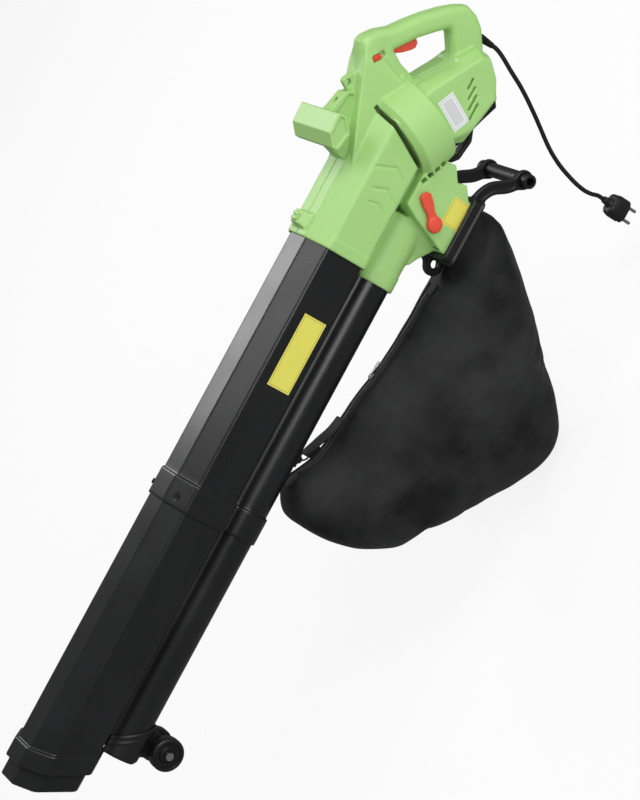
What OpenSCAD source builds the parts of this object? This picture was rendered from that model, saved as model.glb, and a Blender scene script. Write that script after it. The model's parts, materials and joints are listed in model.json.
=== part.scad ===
// Electric garden leaf blower and vacuum with a collecting bag.
// The suction tube lies along X with its nozzle towards -X and the grip towards +X.
// The origin is the middle of the main grip. The modules work from the tube's axis
// at the front edge of the housing, and in_frame() carries them to the origin.

/* [Tubes] */
// Width of the suction tube across its side flats
tube_w = 110; // [96:1:120]
// Height of the suction tube
tube_h = 101; // [92:1:108]
// Width of the top and bottom flats of the suction tube
top_flat = 44; // [36:1:52]
// Height of the side flats of the suction tube
side_flat = 61; // [52:1:68]
// Wall of both tubes
tube_wall = 2.4; // [1.8:0.1:3]
// Outer radius of the blower tube
blow_r = 30; // [26:0.5:32]
// Drop from the suction tube's axis to the blower tube's axis
blow_drop = 85; // [82:0.5:88]
// Half width of the web that joins the two tubes
web_half = 15; // [8:0.5:20]
// Reach of the front tube in front of the housing
tube_reach = 820; // [780:1:860]
// Distance from the housing to the joint of the two tube sections
joint_reach = 391; // [340:1:440]
// Length of the flared collar at the joint
collar_len = 41; // [30:1:60]
// How far the collar stands proud of the tube
collar_proud = 3; // [2.9:0.1:4.5]
// Radial clearance where one plastic piece slips into another
slip = 0.4; // [0.3:0.05:0.6]

/* [Nozzle] */
// Length of the raised band at the mouth
band_len = 29; // [24:1:40]
// How far the nozzle sleeve reaches out of the tube at its top
sleeve_out = 28; // [24:1:36]
// Slant of the nozzle's mouth and of the band behind it
mouth_slant = 21; // [12:1:23]
// How far the nozzle sleeve reaches into the tube
sleeve_in = 70; // [64:1:78]
// Distance from the tube's mouth back to the end of the blower tube
blow_back = 71; // [68:1:88]

/* [Wheels] */
// Radius of a guide wheel
wheel_r = 25; // [20:0.5:27]
// Width of a guide wheel
wheel_w = 19; // [14:0.5:22]
// Length of the wheel bracket along the tube
bracket_len = 52; // [44:1:64]
// Radius of the wheel axle
axle_r = 3; // [2.5:0.1:4]
// Radial running clearance of wheels, shafts and pins
run = 0.08; // [0.05:0.01:0.1]

/* [Housing] */
// Wall of the housing halves
wall = 3; // [2.4:0.1:3.6]
// Length of the straight duct behind the front edge
duct_len = 190; // [180:1:196]
// Depth of the two sockets that take the tubes
socket_depth = 57; // [50:1:64]
// Length of the blower tube's socket lobe
lobe_len = 92; // [80:1:96]
// Half width of the outlet box
outlet_half = 50; // [44:0.5:52]
// Half width of the grip and spine
grip_half = 17; // [15:0.5:19]
// Half width of the motor housing's flat cheeks
motor_half = 48; // [44:0.5:50]

/* [Fan and motor] */
// Tilt of the motor axis, downwards to the rear
motor_tilt = 25; // [22:0.5:27]
// Radius of the fan drum at its front rim
drum_r = 75; // [72:0.5:78]
// Radius of the fan drum at its rear rim
drum_back_r = 71; // [68:0.5:74]
// Rounding of the fan drum's front rim
rim_round = 9; // [6:0.5:12]
// Depth of the fan drum
drum_depth = 60; // [56:1:64]
// Radius of the impeller
impeller_r = 60; // [50:1:63]
// Number of impeller blades
blade_count = 12; // [6:1:16]
// Radius of the motor shaft
shaft_r = 5; // [4:0.5:6]
// Radius of the motor's stator
stator_r = 33; // [29:0.5:34]
// Radius of the motor's rotor
rotor_r = 22; // [18:0.5:24]
// Length of the motor's stator
stator_len = 42; // [34:1:44]

/* [Controls] */
// Half width of the trigger
trigger_half = 6.5; // [5:0.5:8]
// Length of the trigger
trigger_len = 42; // [34:1:46]
// Length of the speed slider's window
slider_len = 22; // [18:1:26]
// Height of the speed slider's window
slider_h = 8; // [6:0.5:10]
// Travel of the speed slider
slider_travel = 8; // [5:0.5:10]
// Length of the mode lever from pivot to tip
lever_len = 49; // [40:1:56]
// Radius of the mode lever's hub
lever_hub_r = 12; // [10:0.5:14]
// Radius of the mode lever's shaft
flap_shaft_r = 4; // [3:0.5:5]
// Length of the divider flap
flap_len = 24; // [18:1:26]

/* [Front handle] */
// Length of the cross bar held by the front hand
bar_len = 112; // [90:1:120]
// Half width of the arm that carries the cross bar
arm_half = 12; // [10:0.5:15]

/* [Bag] */
// Greatest half width of the bag
bag_half = 85; // [70:1:90]
// Thickness of the bag's fabric as a solid
cloth = 2; // [1.5:0.1:3]
// Outer radius of the bag frame's cross bar
cross_r = 10.5; // [9:0.5:12]
// Inner radius of the bag frame's cross bar
cross_bore_r = 6; // [4:0.5:7]
// Length of the bag frame's cross bar
cross_len = 129; // [118:1:140]
// Width of the bag frame's rim
rim_w = 8; // [6:0.5:10]
// Height of the bag frame's rim
rim_h = 18; // [14:0.5:22]

/* [Cord] */
// Radius of the mains lead
cord_r = 3.25; // [3:0.05:4]
// Radius of a plug pin
pin_r = 2.4; // [2.3:0.05:2.5]
// Length of a plug pin
pin_len = 19; // [17:0.5:20]
// Distance between the plug pins
pin_pitch = 19; // [18:0.5:20]

/* [Hidden] */
$fn = 64;
eps = 0.01;        // overlap that lets a cut pass through a face
seat = 0.3;        // gap between moving or loosely seated pieces
far = 400;         // longer than any cut needs

// place of the main grip's middle, seen from the tube axis at the housing's front edge
grip_x = 318;
grip_z = 60;

// clearance lines shared by the pieces
socket_grow = wall + slip;
mouth_x = -tube_reach;
joint_x = -joint_reach;
blow_front_x = mouth_x + blow_back;
tube_bottom = tube_h / 2;

// fan and motor axis
fan_x = 170;
fan_z = -5;

// motor housing seen from the side: its flat cheek, and its fullest outline nearer the middle
motor_cheek = [[214, 14], [255, 0], [292, -22], [330, -46], [334, -60], [316, -82], [292, -96], [238, -86], [206, -60]];
motor_middle = [[214, 26], [262, 8], [302, -16], [341, -42], [341, -62], [320, -86], [297, -109], [262, -103],
  [220, -94], [202, -70]];
motor_middle_half = 28;
stator_s = 70;
front_bearing_s = drum_depth;
rear_bearing_s = 131;
bearing_h = 8;
bearing_r = 13;
rear_bearing_r = 11;

// latch on top of the socket
lock_x = 17;
latch_r = 3;
latch_half = 6;
boss_h = 17;
latch_z = tube_bottom + boss_h - 8;

// outlet box seen from the side: x, z
outlet_front_x = 71;
outlet_back_x = 152;
outlet_z = -145;
outlet_top_z = -(tube_bottom + socket_grow) + wall;
outlet_lip = 9;
outlet_side = [[outlet_front_x, outlet_z], [outlet_back_x, outlet_z], [outlet_back_x, outlet_z + outlet_lip],
  [170, -121], [165, -107], [186, -90], [182, -74], [176, outlet_top_z], [104, outlet_top_z], [93, -74], [79, -116],
  [outlet_front_x, outlet_z + outlet_lip]];

// mode lever and flap pivot
pivot_x = 99;
pivot_z = -101;

// spine, grip and rear leg seen from the side
grip_outside = [[200, 64], [236, 94], [252, 107], [264, 114], [274, 111], [289, 99], [302, 82], [324, 64], [345, 45],
  [364, 25], [378, 7], [386, -7], [381, -28], [371, -43], [350, -60], [330, -72], [300, -60], [280, -30], [236, -10]];
grip_opening = [[278, 62], [268, 42], [261, 12], [266, 4], [300, -22], [310, -27], [320, -20], [338, -6], [343, 0],
  [341, 5], [328, 19], [309, 38]];

// corners of the wedge under the spine: x, z, half width
fin_corners = [[107, 46.4, 35.5], [215, 89.5, 24.5], [246, 101.5, 21], [248, 96, 21], [234, 14, 34], [222, -8, 34],
  [150, 10, 34], [108, 42, 36]];

// eye for the shoulder strap
lug_x = 208;
lug_z = 97;
lug_r = 9;
lug_hole_r = 4.5;

// underside of the grip, where the trigger sits
trigger_front = [277, 63];
trigger_angle = -36;

// middle of the speed slider window
slider_x = 258;
slider_z = 82;
slider_angle = 37;

// cross bar of the front handle, seen from the side
bar_x = 138;
bar_z = 100;
bar_outline = [[22, 14.5], [23.5, 2], [6, -15.5], [-22.5, -11], [-23, -1.5], [-7.5, 13]];

// bag stations along the tube: x, top z, bottom z, share of the greatest half width, sharpness of the seam on top
bag_stations = [[-361, -176, -225, 0.26, 0.9], [-352, -146, -277, 0.55, 1], [-322, -129, -334, 0.76, 1.15],
  [-285, -133, -364, 0.86, 1.3], [-252, -150, -392, 0.93, 1.5], [-175, -160, -450, 1, 1.5], [-112, -167, -496, 1, 1.5],
  [-66, -172, -492, 0.97, 1.5], [4, -176, -425, 0.92, 1.4], [56, -172, -366, 0.88, 1.1],
  [98, -168, -312, 0.80, 0.8], [130, -168, -260, 0.72, 0.8], [154, -170, -207, 0.60, 0.8]];
bag_ring = 24;
bag_power = 0.9;

// bag frame, seated under the outlet box
frame_top_z = outlet_z + outlet_lip - 3;
frame_low_z = frame_top_z - rim_h;
flange_h = 3;
crossbar_x = 219;
crossbar_z = -200;
eye_x = 54;
eye_z = frame_low_z - 1;
eye_r = 12;
eye_hole_r = 6;

// mains lead from its gland to its plug: x, z in the middle plane
cord_points = [[360, -79], [360, -84], [358.5, -92], [355.5, -101], [350.5, -113], [344, -128], [336, -148],
  [327.5, -166], [318.5, -183], [309, -200], [299, -217], [290, -232], [282, -247], [275.5, -262], [270, -278],
  [265.5, -296], [262, -314], [260.5, -332], [262, -346], [265, -357], [265, -368]];
cord_sides = 8;
gland_x = 360;
gland_z = -55;
relief_len = 24;
plug_x = 265;
plug_top_z = -368;
plug_h = 42;

// ---------------------------------------------------------------- helpers

module in_frame() translate([-grip_x, 0, -grip_z]) children();

// a flat shape in Y and Z, drawn out along X
module along_x(from, to) translate([from, 0, 0]) rotate([90, 0, 90]) linear_extrude(to - from) children();

// a flat shape in X and Z, drawn out across the middle plane
module across(half) rotate([90, 0, 0]) linear_extrude(2 * half, center = true) children();

// the fan's and motor's own axes: Z runs from the suction side to the rear
module on_motor(s = 0) translate([fan_x, 0, fan_z]) rotate([0, 90 + motor_tilt, 0]) translate([0, 0, s]) children();

// both sides of the middle plane
module both() {
  children();
  mirror([0, 1, 0]) children();
}

function unit(v) = v / norm(v);
function inward(a, b) = let (d = unit(b - a)) [-d[1], d[0]];

// a counter-clockwise outline with each edge moved inwards by d
function inset(p, d) = let (n = len(p)) [for (i = [0 : n - 1])
  let (u = inward(p[(i + n - 1) % n], p[i]), v = inward(p[i], p[(i + 1) % n]))
  p[i] + (u + v) * d / (1 + u * v)];

function backwards(p) = [for (i = [len(p) - 1 : -1 : 0]) p[i]];

// section of the suction tube, grown by g on every side
function tube_section(g) = let (
    slope = atan((tube_h - side_flat) / (tube_w - top_flat)),
    w = tube_w / 2 + g, h = tube_h / 2 + g,
    t = top_flat / 2 + g * tan(slope / 2), s = side_flat / 2 + g * tan((90 - slope) / 2))
  [[t, h], [-t, h], [-w, s], [-w, -s], [-t, -h], [t, -h], [w, -s], [w, s]];

module suction(g) polygon(tube_section(g));

module blower(g) translate([0, -blow_drop]) circle(blow_r + g);

module web(g) translate([-web_half - g, -blow_drop]) square([2 * (web_half + g), blow_drop - tube_bottom + 1]);

// outline of the two joined tubes, grown by g
module twin(g) {
  suction(g);
  blower(g);
  web(g);
}

// the two joined tubes as one hollow piece
module twin_tube(from, blow_from, to, g = 0) {
  difference() {
    union() {
      along_x(from, to) suction(g);
      along_x(blow_from, to) {
        blower(g);
        web(g);
      }
    }
    along_x(from - eps, to + eps) suction(g - tube_wall);
    along_x(blow_from - eps, to + eps) blower(g - tube_wall);
  }
}

// round screw with a pan head, pointing along -Z from its head
module screw(r, head_r, length) {
  cylinder(r = head_r, h = 2);
  translate([0, 0, -length]) cylinder(r = r, h = length + eps);
}

// ---------------------------------------------------------------- housing

module duct_form(d) {
  along_x(d > 0 ? socket_depth : 0, duct_len - d) suction(socket_grow - d);
  along_x(d > 0 ? socket_depth : -8, lobe_len - d) blower(socket_grow - d);
}

module drum_form(d) on_motor() rotate_extrude() polygon([[0, d], [drum_r - rim_round - d, d],
  [drum_r - d - rim_round / 4, rim_round / 3 + d], [drum_r - d, rim_round], [drum_back_r - d, drum_depth - d], [0, drum_depth - d]]);

module outlet_form(d) difference() {
  across(outlet_half - d) polygon(inset(outlet_side, d));
  if (d > 0) on_motor(drum_depth - d) cylinder(r = drum_r, h = far);
}

module motor_form(d) hull() {
  across(motor_half - d) polygon(inset(backwards(motor_cheek), d));
  across(motor_middle_half - d) polygon(inset(backwards(motor_middle), d));
}

module fin_form(d) let (p = inset(backwards([for (c = fin_corners) [c[0], c[1]]]), d), last = len(p) - 1)
  hull() for (i = [0 : last]) translate([p[i][0], 0, p[i][1]])
    cube([0.1, 2 * (fin_corners[last - i][2] - d), 0.1], center = true);

module grip_form(d) across(grip_half - d) difference() {
  polygon(inset(backwards(grip_outside), d));
  polygon(inset(grip_opening, -d));
}

module grip_gap() across(far) polygon(grip_opening);

module lug_form() across(5) hull() {
  translate([lug_x, lug_z]) circle(lug_r);
  translate([lug_x - lug_r, lug_z - 17]) square([2 * lug_r + 4, 10]);
}

module boss_form() translate([lock_x, 0, 0]) hull() {
  translate([-12, -19, tube_bottom]) cube([24, 38, 4]);
  translate([-9, -11, tube_bottom + boss_h - 1]) cube([19, 22, 1]);
}

module housing_form() {
  duct_form(0);
  along_x(-8, socket_depth) web(socket_grow);
  along_x(-4, 12) suction(socket_grow + 1.6);
  along_x(-12, 12) blower(socket_grow + 1.2);
  drum_form(0);
  outlet_form(0);
  difference() {
    union() {
      motor_form(0);
      fin_form(0);
    }
    grip_gap();
  }
  grip_form(0);
  lug_form();
  boss_form();
}

module housing_air() {
  along_x(-20, socket_depth + eps) twin(slip);
  duct_form(wall);
  drum_form(wall);
  outlet_form(wall);
  translate([outlet_front_x + wall, -outlet_half + wall, outlet_z - 10])
    cube([outlet_back_x - outlet_front_x - 2 * wall, 2 * (outlet_half - wall), 14]);
  difference() {
    union() {
      difference() {
        union() {
          motor_form(wall);
          fin_form(wall);
        }
        across(far) polygon(inset(grip_opening, -wall));
      }
      grip_form(wall);
    }
    duct_form(0);
    drum_form(0);
  }
}

// plates across the housing that carry the motor
module motor_ribs() {
  difference() {
    intersection() {
      union() {
        for (s = [stator_s + 3, stator_s + stator_len - 7]) on_motor(s) cylinder(r = drum_back_r, h = 4);
        on_motor(rear_bearing_s - 1) cylinder(r = drum_back_r, h = bearing_h);
      }
      motor_form(wall / 2);
    }
    on_motor(stator_s - 1) cylinder(r = stator_r + slip, h = stator_len + 2);
    on_motor(rear_bearing_s) cylinder(r = rear_bearing_r + 0.05, h = far);
    on_motor(rear_bearing_s - 2) cylinder(r = shaft_r + 1.5, h = 4);
    on_motor(rear_bearing_s - 8) for (a = [0, 90, 180, 270]) rotate(a + 45) translate([20, -5, 0]) cube([9, 10, 20]);
  }
  on_motor(drum_depth - wall) difference() {
    cylinder(r = bearing_r + 4, h = bearing_h + wall);
    translate([0, 0, wall]) cylinder(r = bearing_r + 0.05, h = bearing_h + 1);
    translate([0, 0, -1]) cylinder(r = shaft_r + 1.5, h = bearing_h + wall);
  }
}

screw_places = [[264, 98, 16], [366, -6, 16], [206, 70, 27], [283, -91.4, 40]];
screw_r = 2;
head_r = 3.6;
head_y = grip_half - 2;

module at_screws() for (p = screw_places) translate([p[0], 0, p[1]]) rotate([-90, 0, 0]) children();

module screw_bosses() for (p = screw_places) translate([p[0], 0, p[1]]) across(p[2]) circle(head_r + 2.4);

module vents() {
  for (i = [0 : 3]) translate([291 - 10.4 * i, 0, -49 - 8.5 * i])
    cube([18 + 3.4 * i, 3 * outlet_half, 3.6], center = true);
  for (i = [0 : 4]) translate([145 + 8.4 * i, 0, -56 - 4.5 * i]) rotate([0, 28, 0])
    cube([5.6, 3 * outlet_half, 5.6], center = true);
}

// pressed chevrons on both cheeks of the duct
module chevrons() for (i = [0 : 2]) translate([84 + 25 * i, 0, 8])
  for (side = [-1, 1]) translate([0, side * (tube_w / 2 + socket_grow), 0]) across(0.7)
    polygon([[0, 16], [3, 16], [16, 0], [3, -16], [0, -16], [13, 0]]);

module trigger_slot() translate([trigger_front[0], 0, trigger_front[1]]) rotate([0, -trigger_angle, 0])
  translate([-2, -trigger_half - seat, -9]) cube([trigger_len + 5, 2 * (trigger_half + seat), 20]);

module slider_window() translate([slider_x, -grip_half, slider_z]) rotate([0, slider_angle, 0])
  cube([slider_len, 4 * wall, slider_h], center = true);

module housing_cuts() {
  vents();
  chevrons();
  trigger_slot();
  slider_window();
  translate([pivot_x, 0, pivot_z]) rotate([90, 0, 0]) cylinder(r = flap_shaft_r + run, h = far, center = true);
  translate([lug_x, 0, lug_z]) rotate([90, 0, 0]) cylinder(r = lug_hole_r, h = far, center = true);
  translate([lock_x, 0, 0]) cylinder(r = latch_r + seat, h = far);
  translate([lock_x - latch_half - seat, -latch_half - 1 - seat, latch_z])
    cube([2 * (latch_half + seat), 2 * (latch_half + 1 + seat), 20]);
  on_arm_screw() cylinder(r = 2 + run, h = 30);
  on_motor() translate([0, 0, drum_depth - 2 * wall]) cylinder(r = shaft_r + 1.5, h = 3 * wall);
  translate([gland_x, 0, gland_z - 8]) cylinder(r = 5 + slip / 2, h = 19);
  at_screws() {
    translate([0, 0, -grip_half + 4]) cylinder(r = screw_r + 0.05, h = far);
    translate([0, 0, head_y]) cylinder(r = head_r + 0.2, h = far);
  }
}

module housing_half(side) intersection() {
  difference() {
    union() {
      difference() {
        housing_form();
        housing_air();
      }
      motor_ribs();
      screw_bosses();
    }
    housing_cuts();
  }
  translate([-far / 2, side > 0 ? 0 : -far, -far]) cube([3 * far, far, 2 * far]);
}

module left_housing() in_frame() color("yellowgreen") housing_half(-1);

module right_housing() in_frame() color("yellowgreen") housing_half(1);

module housing_screws() in_frame() color("dimgray") at_screws()
  translate([0, 0, head_y]) screw(screw_r, head_r, head_y + grip_half - 5);

// ---------------------------------------------------------------- front handle

module bar_shape(grow = 0) polygon(inset(backwards(bar_outline), -grow));

module front_handle() in_frame() color("yellowgreen") difference() {
  union() {
    translate([bar_x, 0, bar_z]) across(bar_len / 2) bar_shape();
    difference() {
      across(arm_half) polygon([[116, 50], [124, 96], [140, 112], [163, 104.5], [194, 97.5], [lug_x - lug_r - 1, 92],
        [lug_x - lug_r - 1, 74]]);
      translate([0, 0, 0.2]) fin_form(0);
      duct_form(-0.2);
    }
  }
  for (side = [-1, 1]) translate([bar_x, side * bar_len / 2, bar_z]) across(2) bar_shape(-4);
  on_arm_screw() {
    translate([0, 0, -10]) cylinder(r = 3.8, h = 10);
    translate([0, 0, -1]) cylinder(r = 2 + run, h = 50);
  }
}

// the line of the screw that ties the arm to the spine
module on_arm_screw() translate([180, 0, 94]) rotate([0, 180, 0]) children();

module handle_screws() in_frame() color("dimgray") on_arm_screw() mirror([0, 0, 1]) screw(2, 3.6, 26);

// dark guard under the motor, with a loop for the storage hook
module base_guard() in_frame() color("black") difference() {
  union() {
    across(20) polygon([[200, -64], [291, -92], [300, -112], [288, -122], [262, -112], [204, -92]]);
    across(10) difference() {
      polygon([[188, -80], [190, -106], [200, -115], [230, -119], [246, -112], [250, -90], [230, -76]]);
      polygon([[197, -92], [197, -104], [203, -109], [230, -112], [238, -108], [240, -98]]);
    }
  }
  motor_form(-0.1);
  outlet_form(-0.3);
  drum_form(-0.2);
}

// ---------------------------------------------------------------- tubes

module rear_tube() in_frame() color("#2b2c2e") difference() {
  union() {
    twin_tube(butt_x + 1, butt_x + 1, socket_depth - 1);
    difference() {
      along_x(collar_front_x, collar_front_x + collar_len) twin(collar_proud);
      along_x(collar_front_x - 1, butt_x + 1) twin(slip);
      along_x(butt_x, 0) {
        suction(-tube_wall / 2);
        blower(-tube_wall / 2);
      }
    }
  }
  translate([lock_x, 0, 0]) cylinder(r = latch_r + seat, h = far);
  collar_holes();
}

module front_tube() in_frame() color("#2b2c2e") difference() {
  union() {
    twin_tube(mouth_x, blow_front_x, butt_x);
    intersection() {
      along_x(mouth_x, mouth_x + far / 2) difference() {
        suction(collar_proud + 1);
        suction(-tube_wall);
      }
      ahead_of(mouth_x + band_len);
    }
  }
  ahead_of(mouth_x);
  collar_holes();
}

// everything in front of a slanted plane, from its place on top of the tube
module ahead_of(x) translate([x, 0, tube_bottom]) rotate([0, -mouth_slant, 0])
  translate([-far, -far / 2, -far]) cube([far, far, 2 * far]);

// the front tube ends against a step in the rear tube's collar
collar_front_x = joint_x - collar_len / 2;
butt_x = collar_front_x + 26;
collar_hole_x = collar_front_x + 16;
collar_hole_angle = 40;

module collar_screw_place() for (side = [-1, 1]) {
  translate([collar_hole_x, 0, 0]) rotate([side * (-collar_hole_angle), 0, 0]) children();
}

module collar_holes() collar_screw_place() cylinder(r = 2.05, h = 90);

module tube_screws() in_frame() color("dimgray") collar_screw_place()
  translate([0, 0, screw_lift]) screw(2, 3.8, 9);

// distance from the tube axis to the collar's slanted top facet along the screw
facet_slope = atan((tube_h - side_flat) / (tube_w - top_flat));
facet_reach = (top_flat / 2 * sin(facet_slope) + tube_h / 2 * cos(facet_slope) + collar_proud);
screw_lift = facet_reach / cos(collar_hole_angle - facet_slope) + 0.6;

module nozzle_sleeve() in_frame() color("#232425") difference() {
  along_x(mouth_x - sleeve_out, mouth_x + sleeve_in) suction(-tube_wall - slip / 2);
  along_x(mouth_x - sleeve_out - eps, mouth_x + sleeve_in + eps) suction(-2 * tube_wall);
  ahead_of(mouth_x - sleeve_out);
}

// sprung latch that holds the tubes in the housing
module tube_lock() in_frame() color("yellowgreen") translate([lock_x, 0, 0]) {
  translate([-latch_half, -latch_half - 1, latch_z + seat]) cube([2 * latch_half, 2 * latch_half + 2, 12]);
  translate([0, 0, tube_bottom - tube_wall]) cylinder(r = latch_r, h = latch_z + 1 - tube_bottom + tube_wall);
}

// ---------------------------------------------------------------- wheels

wheel_x = blow_front_x + 23;
axle_z = -147;
arm_y = 10;
wheel_gap = 1;

module wheel_bracket() in_frame() color("#1c1c1d") difference() {
  union() {
    along_x(blow_front_x - 4, blow_front_x + bracket_len) difference() {
      blower(3);
      translate([-far, -blow_drop + 12]) square([2 * far, far]);
    }
    across(arm_y) polygon([[blow_front_x + 6, -108], [blow_front_x + 16, -132], [wheel_x - 9, axle_z - 4],
      [wheel_x, axle_z - 9], [wheel_x + 9, axle_z], [blow_front_x + bracket_len, -108]]);
    translate([wheel_x, 0, axle_z]) across(arm_y) circle(10);
  }
  along_x(blow_front_x - far, 0) blower(0.15);
  along_x(blow_front_x - far, 0) web(0.3);
  translate([wheel_x, 0, axle_z]) across(far) circle(axle_r + 0.02);
  for (x = [10, 34]) both() translate([blow_front_x + x, blow_r - 4, -blow_drop - 6]) cube([8, 12, 5]);
}

axle_half = arm_y + wheel_gap + wheel_w + 1.5;

module wheel_axle() in_frame() color("silver") translate([wheel_x, 0, axle_z]) across(axle_half) circle(axle_r);

module wheel(side) in_frame() color("#18181a") translate([wheel_x, side * (arm_y + wheel_gap), axle_z])
  rotate([-90 * side, 0, 0]) difference() {
    rotate_extrude() polygon([[axle_r + run, 0], [wheel_r - 3, 0], [wheel_r, 3], [wheel_r, wheel_w - 4],
      [wheel_r - 4, wheel_w - 0.5], [wheel_r - 7, wheel_w - 0.5], [wheel_r - 8, wheel_w - 3],
      [10, wheel_w - 3], [9, wheel_w], [axle_r + run, wheel_w]]);
    for (i = [0 : 4]) rotate(72 * i) translate([13.5, 0, wheel_w - 7]) cylinder(r = 2.6, h = 8);
  }

module left_wheel() wheel(-1);

module right_wheel() wheel(1);

module axle_caps() in_frame() color("silver") both()
  translate([wheel_x, axle_half, axle_z]) rotate([-90, 0, 0]) difference() {
    translate([0, 0, -1]) cylinder(r = 6, h = 3);
    translate([0, 0, -1 - eps]) cylinder(r = axle_r, h = 1 + eps);
  }

// ---------------------------------------------------------------- controls

// carries a piece to the trigger's own line: X along the grip's underside, Z into the grip
module at_trigger() translate([trigger_front[0], 0, trigger_front[1]]) rotate([0, -trigger_angle, 0]) children();

trigger_pin_x = 4;
trigger_pin_z = 6;

module trigger() in_frame() color("orangered") at_trigger() difference() {
  union() {
    across(trigger_half) polygon([[0, 4], [1, -6], [14, -11], [28, -14], [trigger_len - 6, -14],
      [trigger_len - 1, -9], [trigger_len, 5], [10, 6]]);
    translate([trigger_pin_x, 0, trigger_pin_z]) across(trigger_half) circle(5);
  }
  translate([trigger_pin_x, 0, trigger_pin_z]) across(far) circle(2 + run);
}

module trigger_pin() in_frame() color("silver") at_trigger()
  translate([trigger_pin_x, 0, trigger_pin_z]) across(grip_half - wall - 0.05) circle(2);

module at_slider() translate([slider_x, -grip_half, slider_z]) rotate([0, slider_angle, 0]) children();

module speed_slider() in_frame() color("orangered") at_slider() {
  translate([-slider_len / 2 + seat, -1.5, -slider_h / 2 + seat])
    cube([slider_len - slider_travel - 2 * seat, 1.5 + wall + seat, slider_h - 2 * seat]);
  translate([-slider_len / 2 - 2, wall + seat, -slider_h / 2 - 2])
    cube([slider_len - slider_travel + 4, 2, slider_h + 4]);
}

module switch_body() in_frame() color("#303030") translate([316, 0, 55]) rotate([0, 37, 0])
  translate([-12, -grip_half + wall, -6]) cube([24, 2 * (grip_half - wall), 10]);

module capacitor() in_frame() color("lightgray") translate([359, 0, 15]) rotate([0, 40, 0])
  translate([-7, -grip_half + wall, -5]) cube([14, 2 * (grip_half - wall), 10]);

module at_pivot() translate([pivot_x, 0, pivot_z]) children();

lever_y = outlet_half + seat;

module mode_lever() in_frame() color("orangered") at_pivot() rotate([0, -52, 0])
  mirror([0, 1, 0]) translate([0, lever_y, 0]) rotate([-90, 0, 0]) mirror([0, 1, 0]) difference() {
    union() {
      cylinder(r = lever_hub_r, h = 9);
      linear_extrude(8) polygon([[-2, -lever_hub_r + 2], [20, -6], [lever_len - 18, -9], [lever_len - 4, -9],
        [lever_len, -4], [lever_len, 4], [lever_len - 4, 9], [lever_len - 18, 9], [20, 6], [-2, lever_hub_r - 2]]);
    }
    translate([0, 0, -eps]) cylinder(r = flap_shaft_r, h = 6);
  }

module flap_shaft() in_frame() color("#2a2a2a") at_pivot()
  translate([0, -lever_y - 6 + eps, 0]) rotate([-90, 0, 0]) cylinder(r = flap_shaft_r, h = 2 * outlet_half + 6);

module divider_flap() in_frame() color("#2a2a2a") at_pivot() difference() {
  union() {
    rotate([90, 0, 0]) cylinder(r = flap_shaft_r + 3, h = 2 * (outlet_half - wall - 1), center = true);
    translate([-1.5, -(outlet_half - wall - 1), 0]) cube([3, 2 * (outlet_half - wall - 1), flap_len]);
  }
  rotate([90, 0, 0]) cylinder(r = flap_shaft_r, h = far, center = true);
}

// ---------------------------------------------------------------- fan and motor

module inlet_ring() in_frame() color("#3a3a3a") on_motor(rim_round + 0.2) difference() {
  cylinder(r = drum_r - wall - 0.9, h = 3);
  translate([0, 0, -1]) cylinder(r = 44, h = 6);
}

module impeller() in_frame() color("#444444") on_motor(12) difference() {
  union() {
    translate([0, 0, 30]) cylinder(r = impeller_r, h = 3);
    cylinder(r1 = 11, r2 = 17, h = 31);
    for (i = [0 : blade_count - 1]) rotate(360 / blade_count * i) translate([12, -1.5, 4])
      cube([impeller_r - 14, 3, 27]);
  }
  translate([0, 0, -1]) cylinder(r = shaft_r, h = 60);
}

module impeller_nut() in_frame() color("silver") on_motor(12 - 6) difference() {
  cylinder(r = 9, h = 6, $fn = 6);
  translate([0, 0, -1]) cylinder(r = shaft_r, h = 10);
}

module motor_shaft() in_frame() color("silver") on_motor(4) cylinder(r = shaft_r, h = rear_bearing_s + 6 - 4);

module ring(outer, inner, h) difference() {
  cylinder(r = outer, h = h);
  translate([0, 0, -1]) cylinder(r = inner, h = h + 2);
}

module front_bearing() in_frame() color("silver") on_motor(front_bearing_s) ring(bearing_r, shaft_r + run, bearing_h - 0.1);

module rear_bearing() in_frame() color("silver") on_motor(rear_bearing_s) ring(rear_bearing_r, shaft_r + run, bearing_h - 1.5);

module motor_stator() in_frame() color("#7a7a7a") on_motor(stator_s) ring(stator_r, rotor_r + 1, stator_len);

module motor_rotor() in_frame() color("#b87333") on_motor(stator_s + 2) ring(rotor_r, shaft_r, stator_len - 4);

module commutator() in_frame() color("#b87333") on_motor(stator_s + stator_len + 4) ring(11, shaft_r, 9);

module brush_yoke() in_frame() color("#4a3a20") on_motor(stator_s + stator_len) {
  ring(stator_r - 1, rotor_r + 1, 3);
  for (side = [-1, 1]) scale([1, side, 1]) translate([-4, 11 + seat, 3 - eps]) cube([8, 20, 9]);
}

// ---------------------------------------------------------------- stickers

sticker_t = 0.3;

module tube_sticker() in_frame() color("khaki") translate([-204, -tube_w / 2 - sticker_t, -24]) cube([109, sticker_t, 38]);

module outlet_sticker() in_frame() color("khaki") translate([107, -outlet_half - sticker_t, -141]) cube([41, sticker_t, 30]);

module rating_sticker() in_frame() color("whitesmoke") on_motor(72)
  translate([-20, -motor_half - sticker_t, 0]) cube([50, sticker_t, 27]);

// ---------------------------------------------------------------- bag and its frame

frame_in = seat;

module frame_plan(grow) translate([outlet_front_x - grow, -outlet_half - grow])
  square([outlet_back_x - outlet_front_x + 2 * grow, 2 * (outlet_half + grow)]);

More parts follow.
